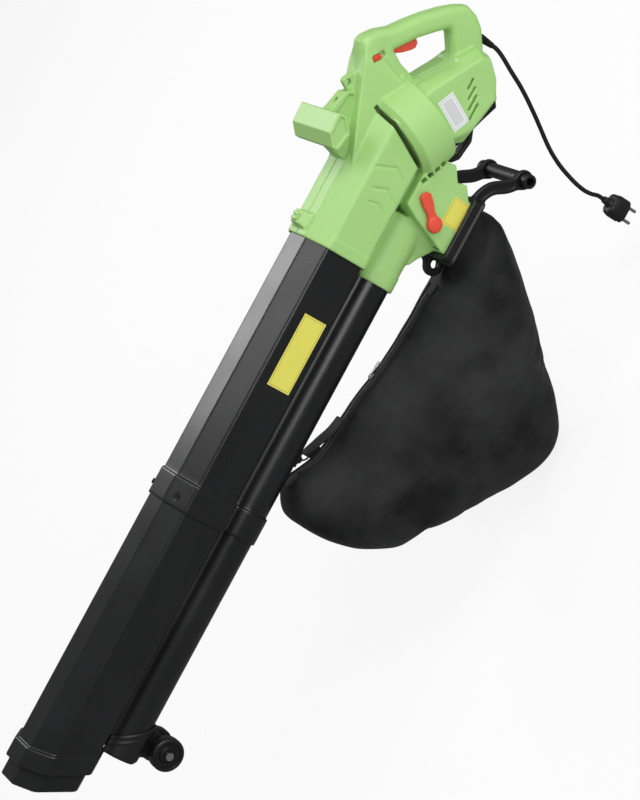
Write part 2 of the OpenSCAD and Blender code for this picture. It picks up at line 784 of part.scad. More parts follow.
module bag_frame() in_frame() color("#1d1d1e") difference() {
  union() {
    translate([0, 0, frame_low_z]) linear_extrude(rim_h) frame_plan(frame_in + rim_w);
    both() translate([0, outlet_half - 4, 0]) across(3.5) arm_outline();
    translate([eye_x, 0, eye_z]) across(6) circle(eye_r);
    translate([eye_x, -6, frame_low_z + 2]) cube([12, 12, 10]);
  }
  translate([0, 0, frame_low_z + flange_h]) linear_extrude(rim_h) frame_plan(frame_in);
  translate([0, 0, frame_low_z - 1]) linear_extrude(rim_h) frame_plan(-wall - 4);
  translate([eye_x, 0, eye_z]) across(far) circle(eye_hole_r);
  translate([crossbar_x, 0, crossbar_z]) across(far) circle(cross_r);
}

module arm_outline() {
  polygon([[outlet_back_x + 6, frame_low_z], [outlet_back_x + 8, frame_top_z], [crossbar_x + 9, crossbar_z + 9],
    [crossbar_x - 9, crossbar_z - 9]]);
  translate([crossbar_x, crossbar_z]) circle(cross_r + 3);
}

module bag_crossbar() in_frame() color("#1d1d1e") translate([crossbar_x, 0, crossbar_z]) difference() {
  across(cross_len / 2) circle(cross_r);
  across(far) circle(cross_bore_r);
}

function sgn_pow(v, p) = sign(v) * pow(abs(v), p);

// one ring of the bag's skin: x, top, bottom, half width, sharpness of the seam on top
function bag_section(x, top, low, half, crest) = [for (i = [0 : bag_ring - 1]) let (a = 360 / bag_ring * i)
  [x, half * sgn_pow(cos(a), sin(a) > 0 ? crest : bag_power),
    (top + low) / 2 + (top - low) / 2 * sgn_pow(sin(a), bag_power)]];

module bag_skin(d) {
  last = len(bag_stations) - 1;
  rings = [for (i = [0 : last]) let (s = bag_stations[i], x = s[0] + (i == 0 ? d : i == last ? -d : 0))
    bag_section(x, s[1] - d * s[4], s[2] + d, bag_half * s[3] - d, s[4])];
  points = [for (r = rings) each r];
  sides = [for (i = [0 : last - 1], j = [0 : bag_ring - 1]) let (k = (j + 1) % bag_ring)
    [i * bag_ring + j, (i + 1) * bag_ring + j, (i + 1) * bag_ring + k, i * bag_ring + k]];
  front = [for (j = [0 : bag_ring - 1]) j];
  back = [for (j = [bag_ring - 1 : -1 : 0]) last * bag_ring + j];
  polyhedron(points, concat(sides, [front, back]));
}

// sleeve of cloth between the frame and the bag
module bag_neck(d) translate([0, 0, frame_low_z - seat - 34]) linear_extrude(34) frame_plan(4 - d);

module bag_body() in_frame() color("#202124") difference() {
  union() {
    bag_skin(0);
    bag_neck(0);
  }
  bag_skin(cloth);
  translate([0, 0, 1]) bag_neck(cloth + 3);
}

function zip_rise(d) = [for (s = bag_stations) if (s[0] > -330 && s[0] < 20) [s[0], s[1] + d]];

module bag_zip() in_frame() color("#2d2e31") across(5) polygon(concat(zip_rise(seat), backwards(zip_rise(seat + 1.5))));

zip_from = bag_stations[6];
zip_to = bag_stations[5];
zip_slope = atan((zip_to[1] - zip_from[1]) / (zip_from[0] - zip_to[0]));

module zip_slider() in_frame() color("silver") translate([zip_from[0] - 12, 0, zip_from[1] + 12 * tan(zip_slope)])
  rotate([0, zip_slope, 0]) {
    translate([-5, -4, seat + 1.5 + seat]) cube([10, 8, 3]);
    translate([2, -2, seat + 4]) cube([22, 4, 1.2]);
  }

strap_x = -276;
strap_low = lookup(strap_x - 10, [for (s = bag_stations) [s[0], s[1]]]) + seat;

module bag_hook() in_frame() color("#1d1d1e") translate([strap_x, 0, -blow_drop - blow_r]) difference() {
  union() {
    translate([-12, -9, -2.5]) cube([24, 18, 3.5]);
    translate([0, 0, -4]) across(4) circle(6);
  }
  translate([0, 0, -5]) across(far) circle(2.8);
  translate([-strap_x - far, 0, blow_r]) along_x(0, 2 * far) circle(blow_r);
}

module bag_strap() in_frame() color("#202124") translate([strap_x, 0, 0])
  translate([-10, 5, strap_low]) cube([20, 2, -blow_drop - blow_r - 4 - strap_low]);

// ---------------------------------------------------------------- mains lead

function tube_ring(p, q, centre) = let (d = unit(q - p), side = [-d[1], d[0]])
  [for (i = [0 : cord_sides - 1]) let (a = 360 / cord_sides * i)
    [centre[0] + cord_r * cos(a) * side[0], cord_r * sin(a), centre[1] + cord_r * cos(a) * side[1]]];

module cord() in_frame() color("black") {
  last = len(cord_points) - 1;
  rings = [for (i = [0 : last])
    tube_ring(cord_points[max(i - 1, 0)], cord_points[min(i + 1, last)], cord_points[i])];
  points = [for (r = rings) each r];
  sides = [for (i = [0 : last - 1], j = [0 : cord_sides - 1]) let (k = (j + 1) % cord_sides)
    [i * cord_sides + j, i * cord_sides + k, (i + 1) * cord_sides + k, (i + 1) * cord_sides + j]];
  front = [for (j = [cord_sides - 1 : -1 : 0]) j];
  back = [for (j = [0 : cord_sides - 1]) last * cord_sides + j];
  polyhedron(points, concat(sides, [front, back]));
}

module strain_relief() in_frame() color("black") translate([gland_x, 0, gland_z - relief_len]) {
  cylinder(r1 = 4.2, r2 = 6, h = relief_len - 3);
  translate([0, 0, relief_len - 3 - eps]) cylinder(r = 5, h = 14);
}

module cord_clamp() in_frame() color("#303030") translate([gland_x - 9, -grip_half + wall, gland_z + 11 + seat])
  cube([11, 2 * (grip_half - wall), 4]);

module plug() in_frame() color("#1b1b1c") translate([plug_x, 0, plug_top_z]) {
  translate([0, 0, -16]) cylinder(r1 = 9, r2 = 5, h = 16);
  translate([0, 0, -plug_h]) linear_extrude(plug_h - 15) difference() {
    union() {
      for (x = [-1, 1]) translate([5 * x, 0]) circle(13.5);
      square([10, 27], center = true);
    }
    for (x = [-1, 1]) translate([20 * x, 0]) circle(4.5);
  }
}

module plug_pins() in_frame() color("silver") for (x = [-1, 1])
  translate([plug_x + x * pin_pitch / 2, 0, plug_top_z - plug_h - pin_len]) cylinder(r = pin_r, h = pin_len);

// ---------------------------------------------------------------- pieces

left_housing();
right_housing();
housing_screws();
front_handle();
handle_screws();
base_guard();
rear_tube();
front_tube();
nozzle_sleeve();
tube_screws();
tube_lock();
wheel_bracket();
wheel_axle();
left_wheel();
right_wheel();
axle_caps();
trigger();
trigger_pin();
speed_slider();
switch_body();
capacitor();
mode_lever();
flap_shaft();
divider_flap();
inlet_ring();
impeller();
impeller_nut();
motor_shaft();
front_bearing();
rear_bearing();
motor_stator();
motor_rotor();
commutator();
brush_yoke();
tube_sticker();
outlet_sticker();
rating_sticker();
bag_frame();
bag_crossbar();
bag_body();
bag_zip();
zip_slider();
bag_strap();
bag_hook();
cord();
strain_relief();
cord_clamp();
plug();
plug_pins();
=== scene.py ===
# %% [markdown]
# # An electric garden blower and vacuum, dressed over its CAD frame
# The frame holds every solid of the tool at its true size and place. This lesson
# puts the looks on it: moulded shapes with soft edges, a cloth bag, a rubber lead,
# and the materials.

# %% Load the frame
import json
import math

import bmesh
import bpy
import numpy as np
import openvdb
from mathutils import Matrix, Vector, noise
from mathutils.bvhtree import BVHTree


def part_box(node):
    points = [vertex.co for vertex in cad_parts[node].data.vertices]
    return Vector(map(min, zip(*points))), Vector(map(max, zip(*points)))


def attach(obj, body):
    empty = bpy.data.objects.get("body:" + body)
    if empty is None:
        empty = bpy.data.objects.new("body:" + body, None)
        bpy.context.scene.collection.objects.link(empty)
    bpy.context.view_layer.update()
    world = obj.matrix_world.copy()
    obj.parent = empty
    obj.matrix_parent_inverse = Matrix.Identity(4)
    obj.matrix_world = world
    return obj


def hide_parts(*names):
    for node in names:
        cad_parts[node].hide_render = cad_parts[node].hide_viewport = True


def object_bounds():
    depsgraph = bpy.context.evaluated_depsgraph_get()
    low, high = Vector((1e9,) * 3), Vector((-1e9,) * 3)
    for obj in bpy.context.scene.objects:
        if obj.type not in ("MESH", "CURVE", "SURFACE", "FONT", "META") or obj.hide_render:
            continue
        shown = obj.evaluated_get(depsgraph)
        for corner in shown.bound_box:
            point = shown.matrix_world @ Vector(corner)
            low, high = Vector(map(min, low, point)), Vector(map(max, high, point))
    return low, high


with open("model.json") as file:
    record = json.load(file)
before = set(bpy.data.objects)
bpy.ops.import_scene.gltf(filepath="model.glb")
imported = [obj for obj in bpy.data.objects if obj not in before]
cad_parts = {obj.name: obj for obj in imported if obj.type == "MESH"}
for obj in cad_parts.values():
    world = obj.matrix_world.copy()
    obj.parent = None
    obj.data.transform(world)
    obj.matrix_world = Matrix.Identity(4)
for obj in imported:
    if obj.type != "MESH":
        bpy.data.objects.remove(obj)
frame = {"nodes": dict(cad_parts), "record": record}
scene = bpy.context.scene
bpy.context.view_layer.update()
MM = 0.001

# %% [markdown]
# ## A ruler for the workbench
# The frame's origin is the middle of the main grip. The tool is easier to shape from
# the axis of its suction tube, at the front edge of the housing, in millimetres.
# Both places come from the frame: the nozzle sleeve is centred on the tube's axis,
# and the housing starts at its lower collar.

# %% The workbench's origin
LOWER_COLLAR = 12
sleeve_low, sleeve_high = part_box("nozzle_sleeve")
bench = Vector((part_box("left_housing")[0].x + LOWER_COLLAR * MM, 0,
                (sleeve_low.z + sleeve_high.z) / 2))


def at(x, y, z):
    """A place on the workbench, in millimetres, as a point of the frame in metres."""
    return bench + Vector((x, y, z)) * MM


print("workbench origin", [round(v, 4) for v in bench])

# %% [markdown]
# ## The camera
# A long lens looks down on the tool from its left side. The tool stands diagonally
# in the picture, so the camera is rolled about its own line of sight. Looking at a
# point and then rolling is easier to read than three Euler angles.

# %% The camera
CAMERA_TARGET = Vector((-0.5064, 0, -0.1659))
CAMERA_DISTANCE = 3.5238
CAMERA_ELEVATION, CAMERA_TURN, CAMERA_ROLL = (math.radians(a) for a in (31.494, 0.3875, 61.434))
LENS = 141.77

camera = bpy.data.objects.new("camera", bpy.data.cameras.new("camera"))
scene.collection.objects.link(camera)
scene.camera = camera
camera.data.sensor_fit = "HORIZONTAL"
camera.data.lens = LENS
sight = Vector((math.sin(CAMERA_TURN) * math.cos(CAMERA_ELEVATION),
                math.cos(CAMERA_TURN) * math.cos(CAMERA_ELEVATION), -math.sin(CAMERA_ELEVATION)))
upright = sight.to_track_quat("-Z", "Y").to_matrix()
camera.matrix_world = (Matrix.Translation(CAMERA_TARGET - sight * CAMERA_DISTANCE)
                       @ (Matrix.Rotation(CAMERA_ROLL, 3, sight) @ upright).to_4x4())
print("camera at", [round(v, 3) for v in camera.location])

# %% [markdown]
# ## Shader maths written as Python
# A node tree is easier to read as a formula. The class below holds one socket, and
# each operator adds the Math node that it stands for. Colours and vectors go through
# Mix and Vector Math, because a Math node would turn them grey.

# %% A socket that does sums
class Wire:
    """One output socket of a material's node tree."""

    def __init__(self, tree, socket):
        self.tree, self.socket = tree, socket

    def wire(self, kind, output, settings=(), values=()):
        """Adds a node: its settings, then its inputs' values or links. Gives one output."""
        made = self.tree.nodes.new(kind)
        for name, value in dict(settings).items():
            setattr(made, name, value)
        for name, value in dict(values).items():
            if isinstance(value, Wire):
                self.tree.links.new(value.socket, made.inputs[name])
            else:
                made.inputs[name].default_value = value
        return Wire(self.tree, made.outputs[output])

    def maths(self, operation, *numbers):
        """Adds a Math node that works on wires or plain numbers."""
        return self.wire("ShaderNodeMath", 0, {"operation": operation}, dict(enumerate(numbers)))

    def __add__(self, other): return self.maths("ADD", self, other)
    def __sub__(self, other): return self.maths("SUBTRACT", self, other)
    def __rsub__(self, other): return self.maths("SUBTRACT", other, self)
    def __mul__(self, other): return self.maths("MULTIPLY", self, other)

    def clamped(self, low, high, to_low=0.0, to_high=1.0):
        """The value's share of the way from low to high, kept inside to_low..to_high."""
        return self.wire("ShaderNodeMapRange", 0, {"clamp": True},
                         {0: self, 1: low, 2: high, 3: to_low, 4: to_high})

    def mixed(self, first, second):
        """A colour between two, with this value as the share of the second."""
        return self.wire("ShaderNodeMix", 2, {"data_type": "RGBA"}, {0: self, 6: first, 7: second})


# %% [markdown]
# ## The finishes' common ground
# Every finish is a Principled shader. What varies over a surface is its base colour,
# its roughness and its bump, and what is the same everywhere is set on the shader.
# A noise seldom leaves the middle of its range, so most finishes stretch that span.

# %% A finish and its noises
NOISE_SPAN = (0.3, 0.7)


def rgb(red, green, blue):
    """A solid colour as a socket wants it."""
    return (red, green, blue, 1.0)


class Finish:
    """A material under construction."""

    def __init__(self, name, roughness, **constants):
        self.material = bpy.data.materials.new(name)
        self.material.use_nodes = True
        tree = self.material.node_tree
        self.shader = tree.nodes["Principled BSDF"]
        self.start = Wire(tree, None)
        self.place = self.start.wire("ShaderNodeTexCoord", "Object")
        self.shader.inputs["Roughness"].default_value = roughness
        for socket, value in constants.items():
            self.shader.inputs[socket.replace("_", " ")].default_value = value

    def noise(self, scale, detail=3.0, stretch=(1, 1, 1)):
        """Even noise from 0 to 1, pulled along an axis where stretch is below 1."""
        spread = self.start.wire("ShaderNodeVectorMath", 0, {"operation": "MULTIPLY"},
                                 {0: self.place, 1: stretch})
        return self.start.wire("ShaderNodeTexNoise", 0, (),
                               {"Vector": spread, "Scale": scale, "Detail": detail})

    def axis(self, letter):
        """The object's own X, Y or Z as a number in metres."""
        return self.start.wire("ShaderNodeSeparateXYZ", letter, (), {0: self.place})

    def feed(self, socket, value):
        """Links a wire to one of the shader's inputs."""
        self.start.tree.links.new(value.socket, self.shader.inputs[socket])
        return self

    def bump(self, height, strength, depth):
        """Lets a height press the surface in and out by a depth in metres."""
        bumped = self.start.wire("ShaderNodeBump", 0, (),
                                 {"Height": height, "Strength": strength, "Distance": depth})
        return self.feed("Normal", bumped)


# %% [markdown]
# ## Moulded plastics
# The housing is a satin green plastic: the mould leaves a fine grain, and handling
# polishes it unevenly. The tubes come from a smoother mould, so they gloss. One
# recipe makes them all, with the grain's size and depth as its values.

# %% Plastics
PAINTED_SHADE_LEVEL = 0.22


def plastic(name, colour, roughness, grain_scale, grain_depth, shade=0.10, painted_shade=None):
    """A moulded plastic: cloudy colour, uneven polish, fine grain, and painted shade under a mask.
    """
    finish = Finish(name, roughness)
    clouds = finish.noise(9, 4)
    dark = rgb(*(c * (1 - shade) for c in colour))
    light = rgb(*(min(1, c * (1 + shade)) for c in colour))
    base = clouds.clamped(*NOISE_SPAN).mixed(dark, light)
    # Where the mask is given, the colour is darkened there as painted shade.
    if painted_shade:
        base = painted_shade(finish).mixed(base, rgb(*(c * PAINTED_SHADE_LEVEL for c in colour)))
    finish.feed("Base Color", base)
    finish.feed("Roughness", clouds.clamped(*NOISE_SPAN, roughness - 0.04, roughness + 0.05))
    return finish.bump(finish.noise(grain_scale, 2), 0.35, grain_depth).material


GREEN_FINISH = ((0.322, 0.560, 0.180), 0.42, 1900, 0.00010, 0.03)
green = plastic("housing_green_plastic", *GREEN_FINISH)
tube_black = plastic("tube_grey_plastic", (0.0095, 0.010, 0.0108), 0.29, 900, 0.00003, 0.15)
matte_black = plastic("matte_black_plastic", (0.008, 0.008, 0.0085), 0.46, 1500, 0.00012, 0.15)
wheel_black = plastic("wheel_black_plastic", (0.007, 0.007, 0.007), 0.42, 1200, 0.00012, 0.15)
fitting_grey = plastic("dark_fitting_plastic", (0.030, 0.030, 0.032), 0.50, 1500, 0.0001, 0.12)
orange = plastic("control_orange_plastic", (0.665, 0.066, 0.030), 0.36, 1500, 0.00006, 0.05)
capacitor_grey = plastic("potted_grey_case", (0.35, 0.36, 0.38), 0.35, 900, 0.00005, 0.05)
print(len(bpy.data.materials), "materials with the plastics")

# %% [markdown]
# ## Metals
# The wheel axle, its caps and the plug's pins are bright turned steel. Fine rings of
# stretched noise stand for the tool's marks. Screws are duller, and the motor's core
# and copper sit deep inside.

# %% Metals
MARK_DARK, MARK_LIGHT = 0.86, 1.08


def metal(name, colour, roughness, scale=700, stretch=(1, 0.04, 1)):
    """A metal with the fine marks of its making."""
    finish = Finish(name, roughness, Metallic=1.0)
    marks = finish.noise(scale, 2, stretch)
    dark = rgb(*(c * MARK_DARK for c in colour))
    light = rgb(*(min(1, c * MARK_LIGHT) for c in colour))
    finish.feed("Base Color", marks.clamped(*NOISE_SPAN).mixed(dark, light))
    finish.feed("Roughness", marks.clamped(*NOISE_SPAN, roughness - 0.06, roughness + 0.08))
    return finish.bump(marks, 0.25, 0.00003).material


bright_steel = metal("turned_bright_steel", (0.62, 0.62, 0.64), 0.26)
screw_steel = metal("zinc_screw_steel", (0.32, 0.32, 0.33), 0.42)
dark_screw = metal("blackened_screw_steel", (0.035, 0.035, 0.037), 0.45)
iron = metal("laminated_iron", (0.18, 0.17, 0.17), 0.55, 400, (1, 1, 1))
copper = metal("turned_copper", (0.72, 0.38, 0.20), 0.34)
print(len(bpy.data.materials), "materials with the metals")

# %% [markdown]
# ## Cloth, tape and rubber
# The bag is a black nylon weave with a soft sheen. Two rows of waves, one along the
# tool and one round it, cross as threads do, and a slow noise gives the dusty patches
# of a bag that has held leaves. The lead is plain rubber with a dull skin.

# %% Cloth, tape and rubber
WEAVE_ROUGHNESS = 0.66


def woven(name, dark, light, threads, depth):
    """A plain weave of so many threads to the metre."""
    finish = Finish(name, WEAVE_ROUGHNESS, Sheen_Weight=0.04, Sheen_Roughness=0.45,
                    Specular_IOR_Level=0.22)
    turn = 2 * math.pi * threads
    warp_place = finish.axis("X") * turn
    warp = warp_place.maths("SINE", warp_place)
    weft_place = (finish.axis("Z") + finish.axis("Y") * 0.35) * turn
    weft = weft_place.maths("SINE", weft_place)
    over = (warp * weft).clamped(-1, 1)
    patches = finish.noise(9, 5) * 0.6 + finish.noise(26, 6) * 0.3 + finish.noise(160, 3) * 0.1
    patches = patches.clamped(0.38, 0.64)
    finish.feed("Base Color", patches.mixed(rgb(*dark), rgb(*light)))
    finish.feed("Roughness", patches.clamped(0, 1, WEAVE_ROUGHNESS - 0.10, WEAVE_ROUGHNESS + 0.06))
    return finish.bump(over + finish.noise(2600, 2) * 0.5, 0.5, depth).material


bag_cloth = woven("bag_black_nylon", (0.0050, 0.0052, 0.0058), (0.0250, 0.0254, 0.0265),
                  520, 0.00022)
tape = woven("black_woven_tape", (0.006, 0.006, 0.0065), (0.014, 0.014, 0.015), 700, 0.00018)
rubber = plastic("cord_black_rubber", (0.008, 0.008, 0.0085), 0.50, 1600, 0.00008, 0.2)
print(len(bpy.data.materials), "materials with cloth, tape and rubber")

# %% [markdown]
# ## Stickers
# The real stickers carry print. Here they stay plain film with a printed frame, so
# nothing on the tool can be read. The frame is a thin darker band near the film's
# edge, found from the distance to the film's middle. The white one lies turned on
# its cheek, so its angle and half sizes are given, and a grey panel fills its frame.

# %% Stickers
FRAME_INSET, FRAME_LINE, PANEL_INSET, PANEL_SHARE, WORN = 2.4, 0.7, (2.6, 3.0), 0.45, 0.8


def film(name, node, colour, edge_colour, turned=None):
    """A sticker's film with a thin frame printed inside its edge."""
    low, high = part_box(node)
    middle, half = (low + high) / 2, (high - low) / 2
    finish = Finish(name, 0.28, Coat_Weight=0.25, Coat_Roughness=0.2)
    angle, half_long, half_wide = turned or (0, half.x, half.z)
    x, z = finish.axis("X") - middle.x, finish.axis("Z") - middle.z
    along = x * math.cos(angle) - z * math.sin(angle)
    across = x * math.sin(angle) + z * math.cos(angle)
    near = half_long - along.maths("ABSOLUTE", along)
    near = near.maths("MINIMUM", near, half_wide - across.maths("ABSOLUTE", across))
    frame_line = near.maths("COMPARE", near, FRAME_INSET * MM, FRAME_LINE * MM / 2)
    if turned:
        panel = near.clamped(*((FRAME_INSET + inset) * MM for inset in PANEL_INSET))
        frame_line = frame_line.maths("MAXIMUM", frame_line, panel * PANEL_SHARE)
    wear = finish.noise(60, 4).clamped(0.35, 0.75, 0.0, 0.12)
    base = wear.mixed(rgb(*colour), rgb(*(c * WORN for c in colour)))
    return finish.feed("Base Color", frame_line.mixed(base, rgb(*edge_colour))).material


YELLOW_PRINT = ((0.68, 0.64, 0.10), (0.30, 0.27, 0.04))
WHITE_PRINT = ((0.74, 0.75, 0.76), (0.34, 0.35, 0.37))
yellow_film = film("yellow_sticker_film", "tube_sticker", *YELLOW_PRINT)
small_film = film("small_yellow_sticker_film", "outlet_sticker", *YELLOW_PRINT)
white_film = film("white_sticker_film", "rating_sticker", *WHITE_PRINT,
                  turned=(math.radians(25), 13.5 * MM, 25 * MM))
print(len(bpy.data.materials), "materials with the stickers")

# %% [markdown]
# ## Dressing the frame
# Each CAD node that keeps its own mesh only gets a better material. The table pairs
# the frame's material slots with the finishes above.

# %% Materials onto the frame
FINISHES = {
    "housing_green": green, "tube_plastic": tube_black, "black_plastic": matte_black,
    "dark_fitting": fitting_grey, "wheel_plastic": wheel_black, "control_orange": orange,
    "screw_steel": screw_steel, "bright_steel": bright_steel, "iron_core": iron, "copper": copper,
    "capacitor_grey": capacitor_grey, "yellow_sticker": yellow_film, "white_sticker": white_film,
    "bag_cloth": bag_cloth, "zip_tape": tape, "cord_rubber": rubber,
}
SLOTS = {part["node"]: part["material_slot"] for part in frame["record"]["subparts"]}


def dress(piece, finish):
    """Gives a piece one finish."""
    piece.data.materials.clear()
    piece.data.materials.append(finish)


for node_name, node_object in frame["nodes"].items():
    dress(node_object, FINISHES[SLOTS[node_name]])
dress(frame["nodes"]["outlet_sticker"], small_film)
dress(frame["nodes"]["tube_screws"], dark_screw)
print(len(SLOTS), "nodes dressed")

# %% [markdown]
# ## The mains lead
# The lead leaves a tapered strain relief under the grip's rear leg, hangs in one easy
# curve beside the bag and ends in its plug. Its route repeats the points of the part's
# source, in workbench millimetres in the middle plane.

# %% A smooth line through places
def smooth_line(places, steps):
    """A curve that passes through every place."""
    places = [Vector(p) for p in places]
    padded = [places[0] * 2 - places[1], *places, places[-1] * 2 - places[-2]]
    line = []
    for a, b, c, d in zip(padded, padded[1:], padded[2:], padded[3:]):
        for i in range(steps):
            t = i / steps
            line.append((b * 2 + (c - a) * t + (a * 2 - b * 5 + c * 4 - d) * t * t
                         + (b * 3 - a - c * 3 + d) * t ** 3) / 2)
    return line + [places[-1]]


# %% Turned pieces
def mesh_piece(name, points, faces):
    """An object from points in workbench millimetres."""
    made = bpy.data.objects.new(name, bpy.data.meshes.new(name))
    made.data.from_pydata([at(*p) for p in points], [], faces)
    scene.collection.objects.link(made)
    return made


def around(sides):
    """Angles round a ring."""
    return [2 * math.pi * i / sides for i in range(sides)]


def ring_faces(low, high, sides):
    """Faces between two rings, from the numbers of their first points."""
    return [(low + j, low + (j + 1) % sides, high + (j + 1) % sides, high + j)
            for j in range(sides)]


def shade(made):
    """Smooth shading that stops at hard edges."""
    made.data.shade_smooth()
    made.data.set_sharp_from_angle(angle=math.radians(40))


def lathe(name, profile, place, along, segments=48):
    """A turned piece: (radius, distance) corners spun about a line through a place."""
    turn = Vector(along).normalized().to_track_quat("Z", "Y").to_matrix()
    points = [turn @ Vector((r * math.cos(a), r * math.sin(a), h)) + Vector(place)
              for r, h in profile for a in around(segments)]
    last = (len(profile) - 1) * segments
    faces = [face for low in range(0, last, segments)
             for face in ring_faces(low, low + segments, segments)]
    faces += [tuple(reversed(range(segments))), tuple(range(last, last + segments))]
    made = mesh_piece(name, points, faces)
    shade(made)
    return made


# %% The lead
CORD_RADIUS = 3.25
CORD_PLACES = [(360, -79), (360, -84), (358.5, -92), (355.5, -101), (350.5, -113), (344, -128),
               (336, -148), (327.5, -166), (318.5, -183), (309, -200), (299, -217), (290, -232),
               (282, -247), (275.5, -262), (270, -278), (265.5, -296), (262, -314), (260.5, -332),
               (262, -346), (265, -357), (265, -368)]
lead_line = [at(*p) for p in smooth_line([(x, 0, z) for x, z in CORD_PLACES], 6)]
lead_curve = bpy.data.curves.new("lead", "CURVE")
lead_curve.dimensions = "3D"
lead_curve.bevel_depth, lead_curve.bevel_resolution = CORD_RADIUS * MM, 5
lead_curve.use_fill_caps = True
spline = lead_curve.splines.new("POLY")
spline.points.add(len(lead_line) - 1)
for point, place in zip(spline.points, lead_line):
    point.co = (*place, 1)
lead = bpy.data.objects.new("lead", lead_curve)
scene.collection.objects.link(lead)

# %% The strain relief, a tapered stack of rubber rings
RELIEF_RINGS, RELIEF_PITCH, RELIEF_GROW, RELIEF_GROOVE = 6, 3.2, 0.3, 0.9
relief_profile = [(3.5, 0), (4.2, 0.6)]
for i in range(RELIEF_RINGS):
    radius, start_h = 4.25 + RELIEF_GROW * i, 1.5 + RELIEF_PITCH * i
    inner = radius - RELIEF_GROOVE
    relief_profile += [(radius, start_h), (radius, start_h + 1.9), (inner, start_h + 2.1),
                       (inner, start_h + 3.0)]
relief_profile += [(6, 20.9), (6, 24), (5, 24.3), (5, 34), (4.4, 34.6)]
relief_x, relief_z = CORD_PLACES[0]
relief = lathe("lead_strain_relief", relief_profile, (relief_x, 0, relief_z), (0, 0, 1), 32)
print("strain relief", len(relief.data.polygons), "faces")

# %% [markdown]
# ## Moulded shapes from distance fields
# A moulded shell has no sharp edge anywhere: its forms melt into each other with
# fillets. Bevelling a mesh made by cutting and joining solids is fragile. So the
# moulded pieces are written as distances instead: a field says for each point how
# far it is from the surface, two fields join by taking the smaller, and a soft
# minimum leaves a fillet. OpenVDB then draws the surface where the field is zero.

# %% Distances to flat shapes
def line_distance(u, v, corners):
    """Distance to an open line of corners."""
    nearest = np.float32(1e9)
    for (au, av), (bu, bv) in zip(corners, corners[1:]):
        eu, ev, pu, pv = bu - au, bv - av, u - au, v - av
        share = np.clip((pu * eu + pv * ev) / (eu * eu + ev * ev), 0, 1)
        nearest = np.minimum(nearest, (pu - eu * share) ** 2 + (pv - ev * share) ** 2)
    return np.sqrt(nearest)


def polygon_distance(u, v, corners):
    """How far points are from a closed outline, negative inside."""
    ring, inside = corners + corners[:1], 1
    for (au, av), (bu, bv) in zip(ring, ring[1:]):
        above, below = v >= av, v < bv
        left = (bu - au) * (v - av) > (bv - av) * (u - au)
        inside = np.where((above & below & left) | ~(above | below | left), -inside, inside)
    return inside * line_distance(u, v, ring)


def shrunk(corners, by):
    """A clockwise or counter-clockwise outline with its edges moved inwards."""
    turn = sum(a[0] * b[1] - a[1] * b[0] for a, b in zip(corners, corners[1:] + corners[:1]))
    by = by if turn > 0 else -by
    result = []
    for before, here, after in zip(corners[-1:] + corners[:-1], corners, corners[1:] + corners[:1]):
        first, second = ((q[0] - p[0], q[1] - p[1]) for p, q in ((before, here), (here, after)))
        n1, n2 = ((-d[1] / math.hypot(*d), d[0] / math.hypot(*d)) for d in (first, second))
        scale = by / (1 + n1[0] * n2[0] + n1[1] * n2[1])
        result.append((here[0] + (n1[0] + n2[0]) * scale, here[1] + (n1[1] + n2[1]) * scale))
    return result


def soft_outline(u, v, corners, radius):
    """Distance to a convex outline whose corners are rounded."""
    return polygon_distance(u, v, shrunk(corners, radius)) - radius


# %% Putting distances together
def rounded_both(a, b, radius):
    """The part inside both fields, with the edge between them rounded."""
    a, b = a + radius, b + radius
    return (np.minimum(np.maximum(a, b), 0)
            + np.hypot(np.maximum(a, 0), np.maximum(b, 0)) - radius)


def band(value, low, high):
    """Distance outside of a band of values."""
    return np.abs(value - (low + high) / 2) - (high - low) / 2


def join(a, b, fillet):
    """Both shapes together, with a fillet where they meet."""
    near = np.maximum(fillet - np.abs(a - b), 0) / fillet
    return np.minimum(a, b) - near * near * fillet / 4


def carve(a, b, fillet=1.0):
    """The first shape without the second."""
    return -join(-a, b, fillet)


# %% [markdown]
# ## From a field to a mesh
# The field is worked out on a block of points around the piece. A step of one to two
# millimetres keeps fillets true and the mesh light. Most forms are drawn as they are
# seen from the side, then given a width across the tool.

# %% Draw a field's surface
def detail(fine, coarse):
    """The step between a block's points, always the fine one; the coarse step is not used."""
    return fine


class Block:
    """A block of points in workbench millimetres, one array for each axis."""

    def __init__(self, low, high, step, along=None):
        self.axes = [np.arange(math.ceil((b - a) / step) + 1) * step + a for a, b in zip(low, high)]
        if along:
            self.axes[0] = np.array(along, float)
        self.x, self.y, self.z = (
            axis.astype(np.float32).reshape([-1 if j == i else 1 for j in range(3)])
            for i, axis in enumerate(self.axes))
        self.shape = tuple(len(axis) for axis in self.axes)

    def piece(self, name, field, passes=1):
        """The field's surface as an object."""
        grid = openvdb.FloatGrid()
        whole = np.broadcast_to(field, self.shape)
        grid.copyFromArray(np.array(whole, dtype=np.float32, order="C"))
        points, _, quads = grid.convertToPolygons(isovalue=0.0)
        places = np.stack([np.interp(points[:, i], np.arange(len(axis)), axis)
                           for i, axis in enumerate(self.axes)], 1)
        mesh = bpy.data.meshes.new(name)
        mesh.from_pydata((np.array(bench) + places * MM).tolist(), [], quads[:, ::-1].tolist())
        made = bpy.data.objects.new(name, mesh)
        scene.collection.objects.link(made)
        settle(made, passes)
        return made


# %% Fields seen from the side
def side_view(b, corners, radius=0):
    """Distance to an outline seen from the side, its corners rounded by a radius if given."""
    if radius:
        return soft_outline(b.x, b.z, corners, radius)
    return polygon_distance(b.x, b.z, corners)


def plate(b, corners, half, edge, radius=0):
    """An outline seen from the side with a half width across, its edges rounded."""
    return rounded_both(side_view(b, corners, radius), np.abs(b.y) - half, edge)


def tilted(b, place, angle):
    """Distances from a place, along a line that falls by an angle and up beside it."""
    dx, dz = b.x - place[0], b.z - place[1]
    c, s = math.cos(angle), math.sin(angle)
    return dx * c - dz * s, dx * s + dz * c


